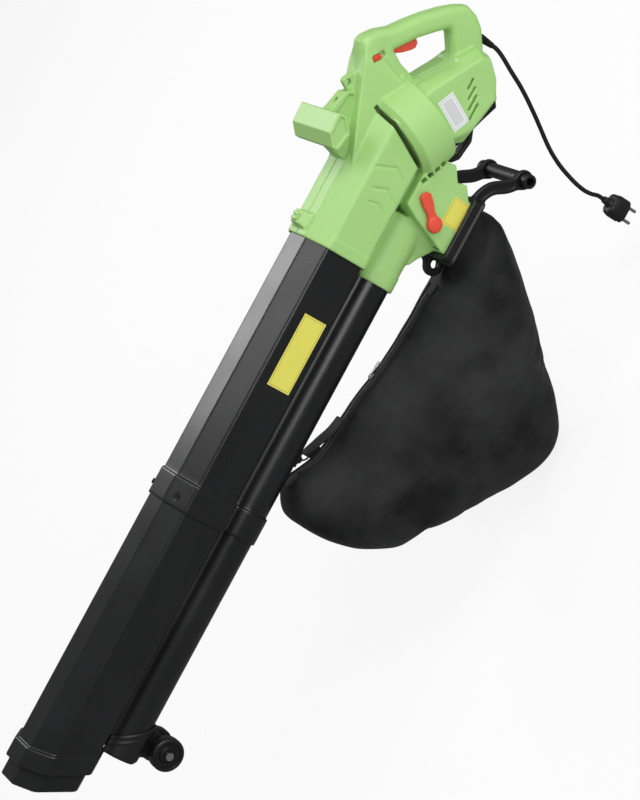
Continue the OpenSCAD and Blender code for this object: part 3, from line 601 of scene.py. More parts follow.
# %% Baking modifiers and fitting pieces to the frame
def apply_modifiers(made):
    """Bakes an object's modifiers into its mesh."""
    bpy.context.view_layer.update()
    evaluated = made.evaluated_get(bpy.context.evaluated_depsgraph_get())
    shaped = bpy.data.meshes.new_from_object(evaluated)
    made.modifiers.clear()
    made.data = shaped
    shaped.name = made.name


def settle(made, passes):
    """Evens out the steps of the block, then shades the mesh smooth."""
    if passes:
        even = made.modifiers.new("even", "SMOOTH")
        even.factor, even.iterations = 0.5, passes
        apply_modifiers(made)
    made.data.shade_smooth()


def fit(made, finish, body, *nodes):
    """Gives a piece its finish and its body, and lets it stand for CAD nodes."""
    dress(made, finish)
    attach(made, body)
    if nodes:
        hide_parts(*nodes)
    print(made.name, len(made.data.polygons), "faces")
    return made


# %% [markdown]
# ## The plug
# A moulded plug with two round pins: its plan is two circles with a notch on each
# side for the socket's earth springs, and grip ribs run round its neck.

# %% The plug and the lead's pieces
PLUG_X, PLUG_TOP, PLUG_HEIGHT = 265, -368, 42
PLAN_OUT, PLAN_R, NOTCH_OUT, NOTCH_R, NECK_R = 5, 13.3, 20.2, 4.5, 6.2
b = Block((PLUG_X - 22, -17, PLUG_TOP - PLUG_HEIGHT - 3), (PLUG_X + 22, 17, PLUG_TOP + 3),
          detail(0.8, 1.6))
side = np.abs(b.x - PLUG_X)
plan = np.minimum(np.hypot(side - PLAN_OUT, b.y) - PLAN_R,
                  np.maximum(side - PLAN_OUT, np.abs(b.y) - PLAN_R))
plan = carve(plan, np.hypot(side - NOTCH_OUT, b.y) - NOTCH_R, 1.5)
taper = np.clip((b.z - (PLUG_TOP - 26)) / 14, 0, 1)
head = rounded_both(plan + 3.2 * taper * taper, band(b.z, PLUG_TOP - PLUG_HEIGHT, PLUG_TOP - 13), 2)
ribs = 0.7 * np.maximum(0, np.sin((b.z - PLUG_TOP) * 1.7))
neck = rounded_both(np.hypot(b.x - PLUG_X, b.y) - NECK_R + 0.1 * (b.z - (PLUG_TOP - 10)) + ribs,
                    band(b.z, PLUG_TOP - 18, PLUG_TOP - 0.2), 1)
plug_piece = b.piece("lead_plug", join(head, neck, 3))
fit(plug_piece, rubber, "housing", "plug")
fit(relief, rubber, "housing", "strain_relief")
dress(lead, rubber)
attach(lead, "housing")
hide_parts("cord")

# %% [markdown]
# ## The housing's forms
# The green housing is two mirrored shells. Its forms are a duct that takes the
# suction tube, a lobe for the blower tube, the fan's drum, the motor's house tilted
# behind it, the outlet box below, a fin that rises out of the duct into the spine,
# and the loop of the grip. Outlines seen from the side are lists of corners.

# %% Outlines of the housing, seen from the side
BOX_SIDE = [(71, -145), (152, -145), (152, -136), (170, -121), (165, -107), (186, -90), (182, -74),
            (176, -50), (104, -50), (93, -74), (79, -116), (71, -136)]
APRON_SIDE = [(26, -96), (36, -120), (57, -132), (82, -144), (97, -140), (97, -90)]
MOTOR_CHEEK = [(214, 14), (255, 0), (292, -22), (330, -46), (334, -60), (316, -82), (292, -96),
               (238, -86), (206, -60)]
MOTOR_MIDDLE = [(214, 26), (262, 8), (302, -16), (341, -42), (341, -62), (320, -86), (297, -109),
                (262, -103), (220, -94), (202, -70)]
MOTOR_CHEEK_HALF, MOTOR_MIDDLE_HALF, BOX_HALF, APRON_HALF = 48, 28, 50, 17
print("the motor's house is", MOTOR_MIDDLE[3][0] - MOTOR_MIDDLE[-1][0], "mm long")

# %% The tubes' sections, which the housing grows over
TUBE_WIDE, TUBE_HIGH, TUBE_TOP, TUBE_SIDE = 55, 50.5, 22, 30.5
BLOW_R, BLOW_DROP, WEB_HALF, WALL_GROW = 30, 85, 15, 3.4


def octagon(grow):
    """Section of the suction tube as (across, up) corners, grown by so much."""
    slope = math.atan2(TUBE_HIGH - TUBE_SIDE, TUBE_WIDE - TUBE_TOP)
    wide, high = TUBE_WIDE + grow, TUBE_HIGH + grow
    top = TUBE_TOP + grow * math.tan(slope / 2)
    side = TUBE_SIDE + grow * math.tan((math.pi / 2 - slope) / 2)
    return [(top, high), (-top, high), (-wide, side), (-wide, -side), (-top, -high), (top, -high),
            (wide, -side), (wide, side)]


def octagon_field(b, grow, softness):
    """Distance to the suction tube's section, its corners softened."""
    return polygon_distance(b.y, b.z, octagon(grow - softness)) - softness


# %% The housing's forms
FAN_PLACE, MOTOR_TILT = (170, -5), math.radians(25)
DUCT_END, LOBE_END, DRUM_R, DRUM_TAPER, DRUM_END = 192, 92, 75.6, 0.06, 60
LIP_FRONT, LIP_INSIDE = 2.4, 66


def on_motor(b):
    """Distances along the motor's axis and down from it."""
    along, up = tilted(b, FAN_PLACE, MOTOR_TILT)
    return along, -up


def housing_forms(b):
    """Every moulded form of the housing, as fields that are still apart."""
    along, down = on_motor(b)
    from_axis = np.hypot(down, b.y)
    duct = rounded_both(octagon_field(b, WALL_GROW, 9), band(b.x, 0, DUCT_END), 2)
    collar_side = octagon_field(b, WALL_GROW + 1.6, 9)
    collar = rounded_both(collar_side, band(b.x, -4, LOWER_COLLAR + 1), 1.5)
    lobe_axis, lobe_r = np.hypot(b.y, b.z + BLOW_DROP), BLOW_R + WALL_GROW
    lobe = rounded_both(lobe_axis - lobe_r, band(b.x, -8, LOBE_END), 2.5)
    lobe_collar = rounded_both(lobe_axis - (lobe_r + 1.2),
                               band(b.x, -LOWER_COLLAR, LOWER_COLLAR), 1.5)
    web = np.maximum(np.maximum(np.abs(b.y) - (WEB_HALF + WALL_GROW), band(b.z, -BLOW_DROP, 0)),
                     band(b.x, -7, 90))
    bevel = (from_axis - LIP_INSIDE - (along - LIP_FRONT)) * math.sqrt(0.5)
    drum = rounded_both(np.maximum(from_axis - DRUM_R + DRUM_TAPER * along, bevel),
                        band(along, LIP_FRONT, DRUM_END), 1.5)
    out = np.clip((np.abs(b.y) - MOTOR_MIDDLE_HALF) / (MOTOR_CHEEK_HALF - MOTOR_MIDDLE_HALF), 0, 1)
    side = side_view(b, MOTOR_MIDDLE) * (1 - out) + side_view(b, MOTOR_CHEEK) * out
    house = rounded_both(side, np.abs(b.y) - MOTOR_CHEEK_HALF, 3.5)
    apron = rounded_both(side_view(b, APRON_SIDE),
                         np.abs(b.y) - APRON_HALF - 0.5 * np.clip(b.x - 50, 0, 40), 3)
    box = join(plate(b, BOX_SIDE, BOX_HALF, 2.5), apron, 4)
    return duct, collar, lobe, lobe_collar, web, drum, house, box


# %% [markdown]
# ## Fin, spine and grip
# The fin's cheeks are flat planes that close up towards the grip, so its half width
# is a straight function of the distance along its ridge. The grip is the same
# outline pushed out sideways, with a large rounding that makes it round in the hand.

# %% Fin, spine and grip
GRIP_HALF = 17
GRIP_OUTSIDE = [(200, 64), (236, 94), (252, 107), (264, 114), (274, 111), (289, 99), (302, 82),
                (324, 64), (345, 45), (364, 25), (378, 7), (386, -7), (381, -28), (371, -43),
                (350, -60), (330, -72), (300, -60), (280, -30), (236, -10)]
GRIP_OPENING = [(278, 62), (268, 42), (261, 12), (266, 4), (300, -22), (310, -27), (320, -20),
                (338, -6), (343, 0), (341, 5), (328, 19), (309, 38)]
FIN_SIDE = [(100, 43.4), (215, 89.5), (246, 101.5), (262, 107), (266, 96), (240, 14), (222, -8),
            (150, 10), (104, 30)]
FIN_CREST = [(100, 43.4, 35.7), (107, 46.4, 35.5), (200, 83.5, 25), (240, 99, 23.5),
             (264, 107, GRIP_HALF)]
FIN_FOOT_Z, FIN_FOOT_HALF = 10, 34


def fin_and_grip(b):
    """The fin that closes up towards the grip, and the grip's loop."""
    xs, crest_z, crest_half = zip(*FIN_CREST)
    top = np.interp(b.x, xs, crest_z)
    narrow = np.interp(b.x, xs, crest_half)
    wide = np.interp(b.x, [100, 244, 266], [FIN_FOOT_HALF, FIN_FOOT_HALF, GRIP_HALF])
    share = np.clip((top - b.z) / (top - FIN_FOOT_Z), 0, 1)
    half = (narrow + (wide - narrow) * share).astype(np.float32)
    loop = carve(side_view(b, GRIP_OUTSIDE), side_view(b, GRIP_OPENING), 4)
    return plate(b, FIN_SIDE, half, 2), rounded_both(loop, np.abs(b.y) - GRIP_HALF, 11)


# %% [markdown]
# ## Openings and pressed details
# Vents, screw wells, the slider's window, the trigger's slot and the sockets are cut
# a few millimetres deep, and the chevrons on the duct's cheeks are shallow grooves.
# Lists keep their places together. Ahead of the drum's lip runs a joint, as if the drum stood clear
# of the duct. Light would still reach its floor, so the green there is darkened by painted shade, a
# mask that follows the same ring.

# %% Places of the openings
CHEVRONS = [[(125, 28), (138, -4), (127, -22)], [(98, 15), (106, -7), (95, -22)],
            [(79, 11), (83, -5), (74, -20)]]
SCREW_WELLS = [(264, 98), (366, -6), (206, 70), (283, -91.4)]
COOLING_SLOTS = [(291 - 10.4 * i, -49 - 8.5 * i, 18 + 3.4 * i, 3.4, 40) for i in range(4)]
DRUM_SLOTS = [(144 + 11.4 * i, -56 - 4.8 * i, 8.4, 6.4, 36, math.radians(23)) for i in range(4)]
JOINT_WIDE, JOINT_END, JOINT_REACH, SOCKET_END, TUBE_PLAY = 6, 40, 72, 50, 0.3
LUG_HOLE, LEVER_PIVOT = (208, 97), (99, -101)
TRIGGER_FRONT, TRIGGER_SLOPE = (277, 63), math.radians(36)
SLIDER_PLACE, SLIDER_TURN = (258, 82), math.radians(37)
print(len(COOLING_SLOTS + DRUM_SLOTS), "vents and", len(SCREW_WELLS), "screw wells")


# %% Cuts in one half
def slot_field(b, x, z, length, height, depth_from, turn=0.0):
    """A slot seen from the side, cut in from outside down to a given half width."""
    along, up = tilted(b, (x, z), turn)
    flat = np.maximum(np.abs(along) - length / 2, np.abs(up) - height / 2)
    return np.maximum(flat, depth_from - np.abs(b.y))


def shared_cuts(b):
    """What both halves have cut out of them."""
    cuts = [slot_field(b, *slot) for slot in COOLING_SLOTS + DRUM_SLOTS]
    along, down = on_motor(b)
    joint = np.maximum(band(np.hypot(down, b.y), 46, JOINT_REACH),
                       band(along, LIP_FRONT - JOINT_WIDE, LIP_FRONT))
    cuts.append(np.maximum(np.maximum(joint, down - JOINT_END), 24 - np.abs(b.y)))
    blower = np.hypot(b.y, b.z + BLOW_DROP) - (BLOW_R + TUBE_PLAY)
    web = np.maximum(np.abs(b.y) - (WEB_HALF + TUBE_PLAY), band(b.z, -BLOW_DROP, 0))
    cuts += [np.maximum(tube, band(b.x, -20, SOCKET_END))
             for tube in (octagon_field(b, TUBE_PLAY, 5), blower, web)]
    along, up = tilted(b, TRIGGER_FRONT, TRIGGER_SLOPE)
    cuts.append(np.maximum(np.maximum(np.abs(b.y) - 6.8, band(up, -9, 11)), band(along, -2, 45)))
    cuts.append(np.hypot(b.x - LEVER_PIVOT[0], b.z - LEVER_PIVOT[1]) - 4.1)
    cuts.append(np.maximum(np.maximum(band(b.x, 74, 149), np.abs(b.y) - 47), b.z + 130))
    return cuts


# %% One half of the housing
LUG_SIDE = [(193, 82), (205, 106), (211, 106), (226, 96), (226, 84)]
BOSS_SIDE, BOSS_HALF, BOSS_FOOT = [(5, 52), (29, 52), (27, 67), (8, 67)], 19, 52


def housing_field(b, side_cuts):
    """Joins the forms of one half, then takes every opening out of them."""
    duct, collar, lobe, lobe_collar, web, drum, house, box = housing_forms(b)
    fin, loop = fin_and_grip(b)
    shell = join(join(join(duct, web, 5), lobe, 3), box, 2.5)
    shell = join(join(shell, collar, 1), lobe_collar, 1)
    shell = join(shell, join(house, fin, 4), 1.5)
    shell = join(shell, drum, 0.8)
    shell = carve(shell, side_view(b, GRIP_OPENING), 6)
    shell = join(shell, loop, 5)
    lug_hole = np.hypot(b.x - LUG_HOLE[0], b.z - LUG_HOLE[1]) - 4.5
    lug = carve(plate(b, LUG_SIDE, 5, 1.5, 3), lug_hole, 1)
    boss = rounded_both(side_view(b, BOSS_SIDE),
                        np.abs(b.y) - BOSS_HALF + 0.5 * np.maximum(b.z - BOSS_FOOT, 0), 2)
    shell = join(join(shell, lug, 3), boss, 3)
    chevrons = [line_distance(b.x, b.z, corners) - 1.1 for corners in CHEVRONS]
    pressed = np.maximum(np.minimum.reduce(np.broadcast_arrays(*chevrons)), 56.4 - np.abs(b.y))
    shell = carve(shell, pressed, 0.4)
    for cut in shared_cuts(b) + side_cuts:
        shell = carve(shell, cut, 0.8)
    return rounded_both(shell, b.y + 0.12, 0.7)


# %% Painted shade in the joint
def painted_joint_shade(finish):
    """Painted shade in the joint ahead of the drum, as a share from 0 to 1."""
    fan = at(FAN_PLACE[0], 0, FAN_PLACE[1])
    c, s = math.cos(MOTOR_TILT) / MM, math.sin(MOTOR_TILT) / MM
    x, y, z = finish.axis("X") - fan.x, finish.axis("Y") * (1 / MM), finish.axis("Z") - fan.z
    along, down = x * c - z * s, x * (-s) - z * c
    squares = down * down + y * y
    ring = squares.maths("SQRT", squares)
    front = LIP_FRONT - JOINT_WIDE
    ahead = along.clamped(front - 0.8, front + 0.4)
    behind_lip = along.clamped(LIP_FRONT - 0.2, LIP_FRONT + 0.8, 1, 0)
    reached = ring.clamped(JOINT_REACH - 0.5, JOINT_REACH + 1, 1, 0)
    return ahead * behind_lip * reached * down.clamped(JOINT_END - 2, JOINT_END + 1, 0.9, 0)


# The shells' green carries the painted shade in the joint ahead of the drum.
shell_green = plastic("housing_shell_plastic", *GREEN_FINISH, painted_shade=painted_joint_shade)
print(len(bpy.data.materials), "materials with the shells' own green")

# %% The two shells
half_block = Block((-15, -78, -150), (391, 1.6, 126), detail(1.6, 3.0))
slider_cut = slot_field(half_block, *SLIDER_PLACE, 22, 8, 12, SLIDER_TURN)
wells = [np.maximum(np.hypot(half_block.x - x, half_block.z - z) - 3.9, 12 - np.abs(half_block.y))
         for x, z in SCREW_WELLS]
left_shell = half_block.piece("left_housing_shell", housing_field(half_block, [slider_cut]))
right_shell = half_block.piece("right_housing_shell", housing_field(half_block, wells))
right_shell.data.transform(Matrix.Scale(-1, 4, (0, 1, 0)))
right_shell.data.flip_normals()
fit(left_shell, shell_green, "housing", "left_housing")
fit(right_shell, shell_green, "housing", "right_housing")

# %% [markdown]
# ## The front handle
# The front hand holds a hexagonal cross bar. Its ends are hollowed a little, and a
# plate with a sunken panel carries it down to the spine.

# %% The front handle
BAR_X, BAR_Z, BAR_HALF, ARM_HALF = 138, 100, 56, 12
BAR_OUTLINE = [(22, 14.5), (23.5, 2), (6, -15.5), (-22.5, -11), (-23, -1.5), (-7.5, 13)]
BAR_DISH, ARM_DISH = 2.5, 2.6
ARM_SIDE = [(114, 48), (124, 96), (140, 112), (163, 104.5), (194, 97.5), (203, 84), (203, 74)]
ARM_PANEL = [(160, 95), (194, 91), (197, 84), (168, 72), (158, 70)]
POST_SIDE, POST_TOP = [(112, 46), (122, 92), (150, 92), (150, 46)], 90
b = Block((108, -60, 46), (208, 60, 120), detail(1.1, 2.4))
end_on = soft_outline(b.x - BAR_X, b.z - BAR_Z, BAR_OUTLINE, 1.6)
bar = rounded_both(end_on, np.abs(b.y) - BAR_HALF, 1.4)
bar = carve(bar, np.maximum(end_on + 4, BAR_HALF - BAR_DISH - np.abs(b.y)), 0.8)
arm = plate(b, ARM_SIDE, ARM_HALF, 1.6, 2)
arm = carve(arm, np.maximum(side_view(b, ARM_PANEL), ARM_HALF - ARM_DISH - np.abs(b.y)), 0.8)
arm = carve(arm, np.maximum(np.hypot(b.x - 180, b.y) - 4, 94 - b.z), 0.6)
post = rounded_both(side_view(b, POST_SIDE, 2),
                    np.abs(b.y) - ARM_HALF - 0.12 * np.maximum(POST_TOP - b.z, 0), 2)
handle = b.piece("front_handle_bar", join(join(bar, arm, 3), post, 3))
fit(handle, green, "housing", "front_handle")

# %% [markdown]
# ## The tubes
# Both tube sections share one outline: a soft octagon for the suction tube, a round
# blower tube below it and a web between them. They run straight for most of their
# length, so the block of points is coarse along them and fine at collars and mouths.
# The rear tube goes into the housing, and its collar grips the butt of the front one.

# %% The shared outline of the tubes
TUBE_WALL, SLIP, FAR = 2.4, 0.4, 900
MOUTH_X, BUTT_X, COLLAR_FRONT, COLLAR_BACK, BLOW_FRONT = -820, -385.5, -411.5, -370.5, -749
TUBE_BLOCK = ((0, -62, -122), (0, 62, 57), detail(1.3, 3.0))
print("the tubes reach", -MOUTH_X, "mm forward and butt at", -BUTT_X, "mm")


def run_of(spans):
    """Places along an axis: (end, step) spans that follow each other from a start."""
    places = [spans[0]]
    for end, step in spans[1:]:
        start_place = places[-1]
        count = max(1, round((end - start_place) / step))
        places += [start_place + (end - start_place) * (i + 1) / count for i in range(count)]
    return places


def blower_field(b, grow):
    """Distance to the blower tube, grown by so much."""
    return np.hypot(b.y, b.z + BLOW_DROP) - BLOW_R - grow


def twin_field(b, grow):
    """Both tubes and the web between them, with fillets."""
    web = np.maximum(np.abs(b.y) - WEB_HALF - grow, band(b.z, -BLOW_DROP, -40))
    return join(join(octagon_field(b, grow, 7), web, 5), blower_field(b, grow), 5)


def hollow(b, grow):
    """The two bores, without the web between them."""
    return np.minimum(octagon_field(b, grow, 6), blower_field(b, grow))


# %% The rear tube with its collar
SCREW_X, SCREW_R, SCREW_TURN, SCREW_FROM = -395.5, 2.1, math.radians(40), 30
b = Block(*TUBE_BLOCK, run_of([-414, (-409, 1), (-390, 3), (-383, 1), (-374, 3), (-368, 1),
                               (-20, 12), (48, 8), (58, 2)]))
pipe = rounded_both(twin_field(b, 0), band(b.x, -390, 56), 1)
collar = rounded_both(twin_field(b, 3), band(b.x, COLLAR_FRONT, COLLAR_BACK), 1.4)
rear = join(pipe, collar, 1)
rear = carve(rear, np.maximum(hollow(b, -TUBE_WALL), band(b.x, -500, 100)), 0.5)
rear = carve(rear, np.maximum(twin_field(b, SLIP), band(b.x, -500, BUTT_X + 1)), 0.5)
for slope in (-SCREW_TURN, SCREW_TURN):
    across = b.y * math.cos(slope) - b.z * math.sin(slope)
    out = b.y * math.sin(slope) + b.z * math.cos(slope)
    well = np.maximum(np.hypot(b.x - SCREW_X, across) - SCREW_R, SCREW_FROM - out)
    rear = carve(rear, well, 0.3)
fit(b.piece("rear_tube_shell", rear, 2), tube_black, "housing", "rear_tube")

# %% The front tube with its raised band
MOUTH_LEAN, BAND_LENGTH = math.radians(21), 29


def behind(b, top_x):
    """Distance behind a slanted plane, from its place on top of the tube."""
    return (b.x - top_x) * math.cos(MOUTH_LEAN) - (TUBE_HIGH - b.z) * math.sin(MOUTH_LEAN)


b = Block(*TUBE_BLOCK, run_of([-824, (-744, detail(1.2, 3)), (-392, 12), (-384, 2)]))
mouth = -behind(b, MOUTH_X)
pipe = np.minimum(np.maximum(octagon_field(b, 0, 7), band(b.x, -FAR, BUTT_X)),
                  np.maximum(twin_field(b, 0), band(b.x, BLOW_FRONT, BUTT_X)))
ring = rounded_both(octagon_field(b, 4, 10),
                    np.maximum(mouth, behind(b, MOUTH_X + BAND_LENGTH)), 1.6)
front = rounded_both(join(pipe, ring, 1.5), mouth, 1)
front = carve(front, np.maximum(octagon_field(b, -TUBE_WALL, 6), band(b.x, -FAR, 0)), 0.5)
front = carve(front, np.maximum(blower_field(b, -TUBE_WALL), band(b.x, -FAR, 0)), 0.5)
fit(b.piece("front_tube_shell", front, 2), tube_black, "housing", "front_tube")

# %% The nozzle sleeve
SLEEVE_OUT, SLEEVE_BACK = 28, -750
b = Block((-856, -56, -54), (-746, 56, 54), detail(1.2, 2.4))
sleeve = rounded_both(octagon_field(b, -TUBE_WALL - 0.2, 12), -behind(b, MOUTH_X - SLEEVE_OUT), 1)
sleeve = rounded_both(sleeve, b.x - SLEEVE_BACK, 0.8)
sleeve = carve(sleeve, octagon_field(b, -2 * TUBE_WALL, 10), 0.6)
fit(b.piece("nozzle_sleeve_shell", sleeve), tube_black, "housing", "nozzle_sleeve")

# %% [markdown]
# ## Wheels and their bracket
# Each wheel is turned: a tyre with a rounded shoulder, a dished face with a raised
# ring, and a hub. The bracket hugs the blower tube and holds the axle below it.

# %% Wheels
WHEEL_X, AXLE_Z, ARM_Y, WHEEL_GAP = BLOW_FRONT + 23, -147, 10, 1
WHEEL_PROFILE = [(3.1, 0), (21.5, 0), (23.8, 0.6), (24.8, 2.4), (25, 4), (25, 14.5), (24.6, 16.4),
                 (23.2, 18), (21.6, 18.6), (19.6, 18.6), (18.9, 18), (18.5, 15.8), (13.4, 15.2),
                 (12.8, 15.8), (12.5, 17.6), (11.9, 18.1), (10.6, 18.1), (10.1, 17.5), (9.8, 16.6),
                 (7.4, 16.9), (6.8, 19), (3.1, 19)]
for name, sign in (("left_wheel", -1), ("right_wheel", 1)):
    wheel_place = (WHEEL_X, sign * (ARM_Y + WHEEL_GAP), AXLE_Z)
    wheel = lathe(name + "_tyre", WHEEL_PROFILE, wheel_place, (0, sign, 0), 72)
    fit(wheel, wheel_black, name, name)

# %% Wheel bracket
CLASP_FRONT, CLASP_BACK, CLASP_LEAN = BLOW_FRONT - 9, BLOW_FRONT + 14, 0.62
STEM_SIDE = [(-749, -106), (-746, -124), (-738, -150), (-726, -158), (-714, -150), (-706, -130),
             (-700, -106)]
b = Block((-763, -38, -162), (-696, 38, -52), detail(1.1, 2.4))
back_face = b.x - CLASP_BACK - (-50 - b.z) * CLASP_LEAN
front_face = CLASP_FRONT - b.x + np.maximum(-100 - b.z, 0) * 0.4
sides = np.maximum(np.abs(b.y) - WEB_HALF - 3, band(b.z, -BLOW_DROP, -56))
hug = join(sides, blower_field(b, 3), 6)
clasp = rounded_both(hug, np.maximum(front_face, back_face), 1.5)
for shift in (4, 13):
    edge = np.abs(back_face + shift) - 1.3
    clasp = join(clasp, rounded_both(join(sides - 1, blower_field(b, 4), 6), edge, 0.8), 1)
bracket = join(clasp, plate(b, STEM_SIDE, ARM_Y, 2, 5), 5)
bracket = carve(bracket, twin_field(b, 0.1), 0.4)
bracket = carve(bracket, np.hypot(b.x - WHEEL_X, b.z - AXLE_Z) - 3.05, 0.4)
fit(b.piece("wheel_bracket_clasp", bracket), matte_black, "housing", "wheel_bracket")

# %% [markdown]
# ## Controls
# The mode lever on the outlet box, the speed slider, the trigger and the latch that
# holds the tubes are the places a hand goes to, so each gets soft edges, and the slider gets grip
# ribs.

# %% Mode lever
CONTROL_STEP = detail(0.7, 1.4)
LEVER_TURN, LEVER_FOOT = math.radians(52), BOX_HALF + 0.5
LEVER_ARM = [(-3, -9.5), (18, -6), (30, -8.6), (45, -8.6), (49, -4), (49, 4), (45, 8.6), (30, 8.6),
             (18, 6), (-3, 9.5)]
b = Block((80, -62, -118), (144, -49, -52), CONTROL_STEP)
along, beside = tilted(b, LEVER_PIVOT, -LEVER_TURN)
from_hub = np.hypot(along, beside)
dome = band(-b.y, LEVER_FOOT, LEVER_FOOT + 10 - 0.018 * from_hub ** 2)
bar = rounded_both(polygon_distance(along, beside, LEVER_ARM),
                   band(-b.y, LEVER_FOOT, LEVER_FOOT + 7), 2.6)
lever = join(rounded_both(from_hub - 12, dome, 3), bar, 3)
fit(b.piece("mode_lever_knob", lever), orange, "mode_lever", "mode_lever")

# %% Speed slider
b = Block((242, -24, 68), (274, -10, 96), CONTROL_STEP)
along, beside = tilted(b, SLIDER_PLACE, SLIDER_TURN)
ribs = 0.8 * np.cos(along * 2.1)
thumb = rounded_both(rounded_both(band(along, -10.7, 2.7), np.abs(beside) - 3.6, 1.2),
                     band(-b.y, 12, 21.4 + ribs), 0.9)
fit(b.piece("speed_slider_thumb", thumb), orange, "speed_slider", "speed_slider")

# %% Trigger
BLADE_SIDE = [(0, 4), (1, -6), (14, -11), (28, -14), (36, -14), (41, -9), (42, 5), (10, 6)]
b = Block((268, -9, 24), (324, 9, 74), CONTROL_STEP)
along, up = tilted(b, TRIGGER_FRONT, TRIGGER_SLOPE)
blade = rounded_both(soft_outline(along, up, BLADE_SIDE, 2),
                     np.abs(b.y) - 6.3 - 0.03 * (up + 14), 2.2)
fit(b.piece("trigger_blade", blade), orange, "trigger", "trigger")

# %% The latch that holds the tubes
LATCH_X = 17
b = Block((6, -11, 44), (28, 11, 76), CONTROL_STEP)
key = rounded_both(np.abs(b.x - LATCH_X) - 5.8, np.abs(b.y) - 6.8, 1.5)
key = rounded_both(key, band(b.z, 59.8, 71.6), 1.4)
key = carve(key, np.maximum(np.abs(b.x - LATCH_X) - 1.2, 69.4 - b.z), 0.6)
key = join(key, rounded_both(np.hypot(b.x - LATCH_X, b.y) - 2.9, band(b.z, 48, 62), 0.6), 1)
fit(b.piece("tube_lock_key", key), green, "tube_lock", "tube_lock")

# %% [markdown]
# ## The black guard under the motor
# A broad skid of black plastic protects the motor's house, and a loop in front of it
# takes a wall hook.

# %% Guard
SKID_SIDE = [(200, -64), (291, -92), (300, -112), (288, -122), (262, -112), (204, -92)]
LOOP_SIDE = [(188, -80), (190, -106), (200, -115), (230, -119), (246, -112), (250, -90), (230, -76)]
LOOP_HOLE = [(197, -92), (197, -104), (203, -109), (230, -112), (238, -108), (240, -98)]
SKID_HALF, LOOP_HALF = 20, 10
b = Block((184, -24, -126), (304, 24, -60), detail(1.2, 2.4))
hoop = carve(side_view(b, LOOP_SIDE), side_view(b, LOOP_HOLE), 2)
guard = join(plate(b, SKID_SIDE, SKID_HALF, 4), rounded_both(hoop, np.abs(b.y) - LOOP_HALF, 3), 3)
fit(b.piece("base_guard_skid", guard), matte_black, "housing", "base_guard")

# %% [markdown]
# ## The bag's frame
# A rim clips round the outlet box. Two curved arms reach back from it to a hollow
# cross bar under the motor, and an eye in front takes the housing's hook.

# %% Rim, arms and eye
BOX_MIDDLE, BOX_REACH, RIM_LOW, RIM_TOP, RIM_WIDTH = 111.5, 40.5, -157, -139, 8.3
CROSS_X, CROSS_Z, CROSS_R, CROSS_HALF = 219, -200, 10.5, 64.5
EYE_X, EYE_Z, EYE_R, EYE_HALF = 55, -164, 16, 3.5
EYE_ROOT = [(50, -157), (56, -141), (74, -139), (74, -160)]
ARM_PLACES = [(140, -150, 0), (163, -149, 0), (184, -160, 0), (199, -182, 0), (CROSS_X, CROSS_Z, 0)]
b = Block((30, -66, -218), (238, 66, -134), detail(1.3, 2.6))


def box_plan(grow, radius):
    """The outlet box seen from above, grown by so much."""
    return rounded_both(np.abs(b.x - BOX_MIDDLE) - BOX_REACH - grow,
                        np.abs(b.y) - BOX_HALF - grow, radius)


rim = rounded_both(box_plan(RIM_WIDTH, 8), band(b.z, RIM_LOW, RIM_TOP), 2.4)
rim = join(rim, rounded_both(box_plan(RIM_WIDTH + 2.4, 9), band(b.z, RIM_LOW, RIM_LOW + 4), 1.2), 1)
arm_line = [(x, z) for x, z, _ in smooth_line(ARM_PLACES, 5)]
from_cross = np.hypot(b.x - CROSS_X, b.z - CROSS_Z) - CROSS_R
arm_side = join(line_distance(b.x, b.z, arm_line) - 9.5, from_cross - 3.6, 6)
arms = rounded_both(arm_side, band(np.abs(b.y), 42, 51), 2.4)
groove = np.maximum(line_distance(b.x, b.z, arm_line[2:-4]) - 4, 49.6 - np.abs(b.y))
arms = carve(arms, groove, 1)
eye = join(np.hypot(b.x - EYE_X, b.z - EYE_Z) - EYE_R, side_view(b, EYE_ROOT), 5)
eye = rounded_both(eye, np.abs(b.y) - EYE_HALF, 1.6)
eye_hole = np.hypot(b.x - EYE_X - 2, b.z - EYE_Z + 1) - 6.4
bag_frame = join(join(rim, arms, 5), eye, 3)
for opening, fillet in ((eye_hole, 1.2), (np.maximum(box_plan(0.4, 3), RIM_LOW + 3 - b.z), 0.6),
                        (box_plan(-7, 4), 0.8), (from_cross - 0.1, 0.5)):
    bag_frame = carve(bag_frame, opening, fillet)
fit(b.piece("bag_frame_rim", bag_frame), matte_black, "bag", "bag_frame")

# %% The hollow cross bar
CROSS_PROFILE = [(6, 0), (9.4, 0), (10.4, 1), (10.5, 2), (10.5, 14), (9.9, 14.6), (9.9, 15.6),
                 (10.5, 16.2), (10.5, 112.8), (9.9, 113.4), (9.9, 114.4), (10.5, 115), (10.5, 127),
                 (10.4, 128), (9.4, 129), (6, 129)]


def open_lathe(name, profile, place, along):
    """A turned piece with a bore: the profile closes on itself."""
    made = lathe(name, profile + profile[:1], place, along)
    shell = bmesh.new()
    shell.from_mesh(made.data)
    caps = [face for face in shell.faces if len(face.verts) > 4]
    bmesh.ops.delete(shell, geom=caps, context="FACES_ONLY")
    bmesh.ops.remove_doubles(shell, verts=shell.verts, dist=1e-6)
    shell.to_mesh(made.data)
    shell.free()
    shade(made)
    return made


cross = open_lathe("bag_cross_bar", CROSS_PROFILE, (CROSS_X, -CROSS_HALF, CROSS_Z), (0, 1, 0))
fit(cross, matte_black, "bag", "bag_crossbar")

# %% [markdown]
# ## The bag
# The bag is a closed sack lofted through sections along the tool. It is drawn a little
# small, remeshed, and blown up by a short cloth simulation so that its cheeks crown
# between the seams. A cap on each point's travel keeps it near its drawn shape.

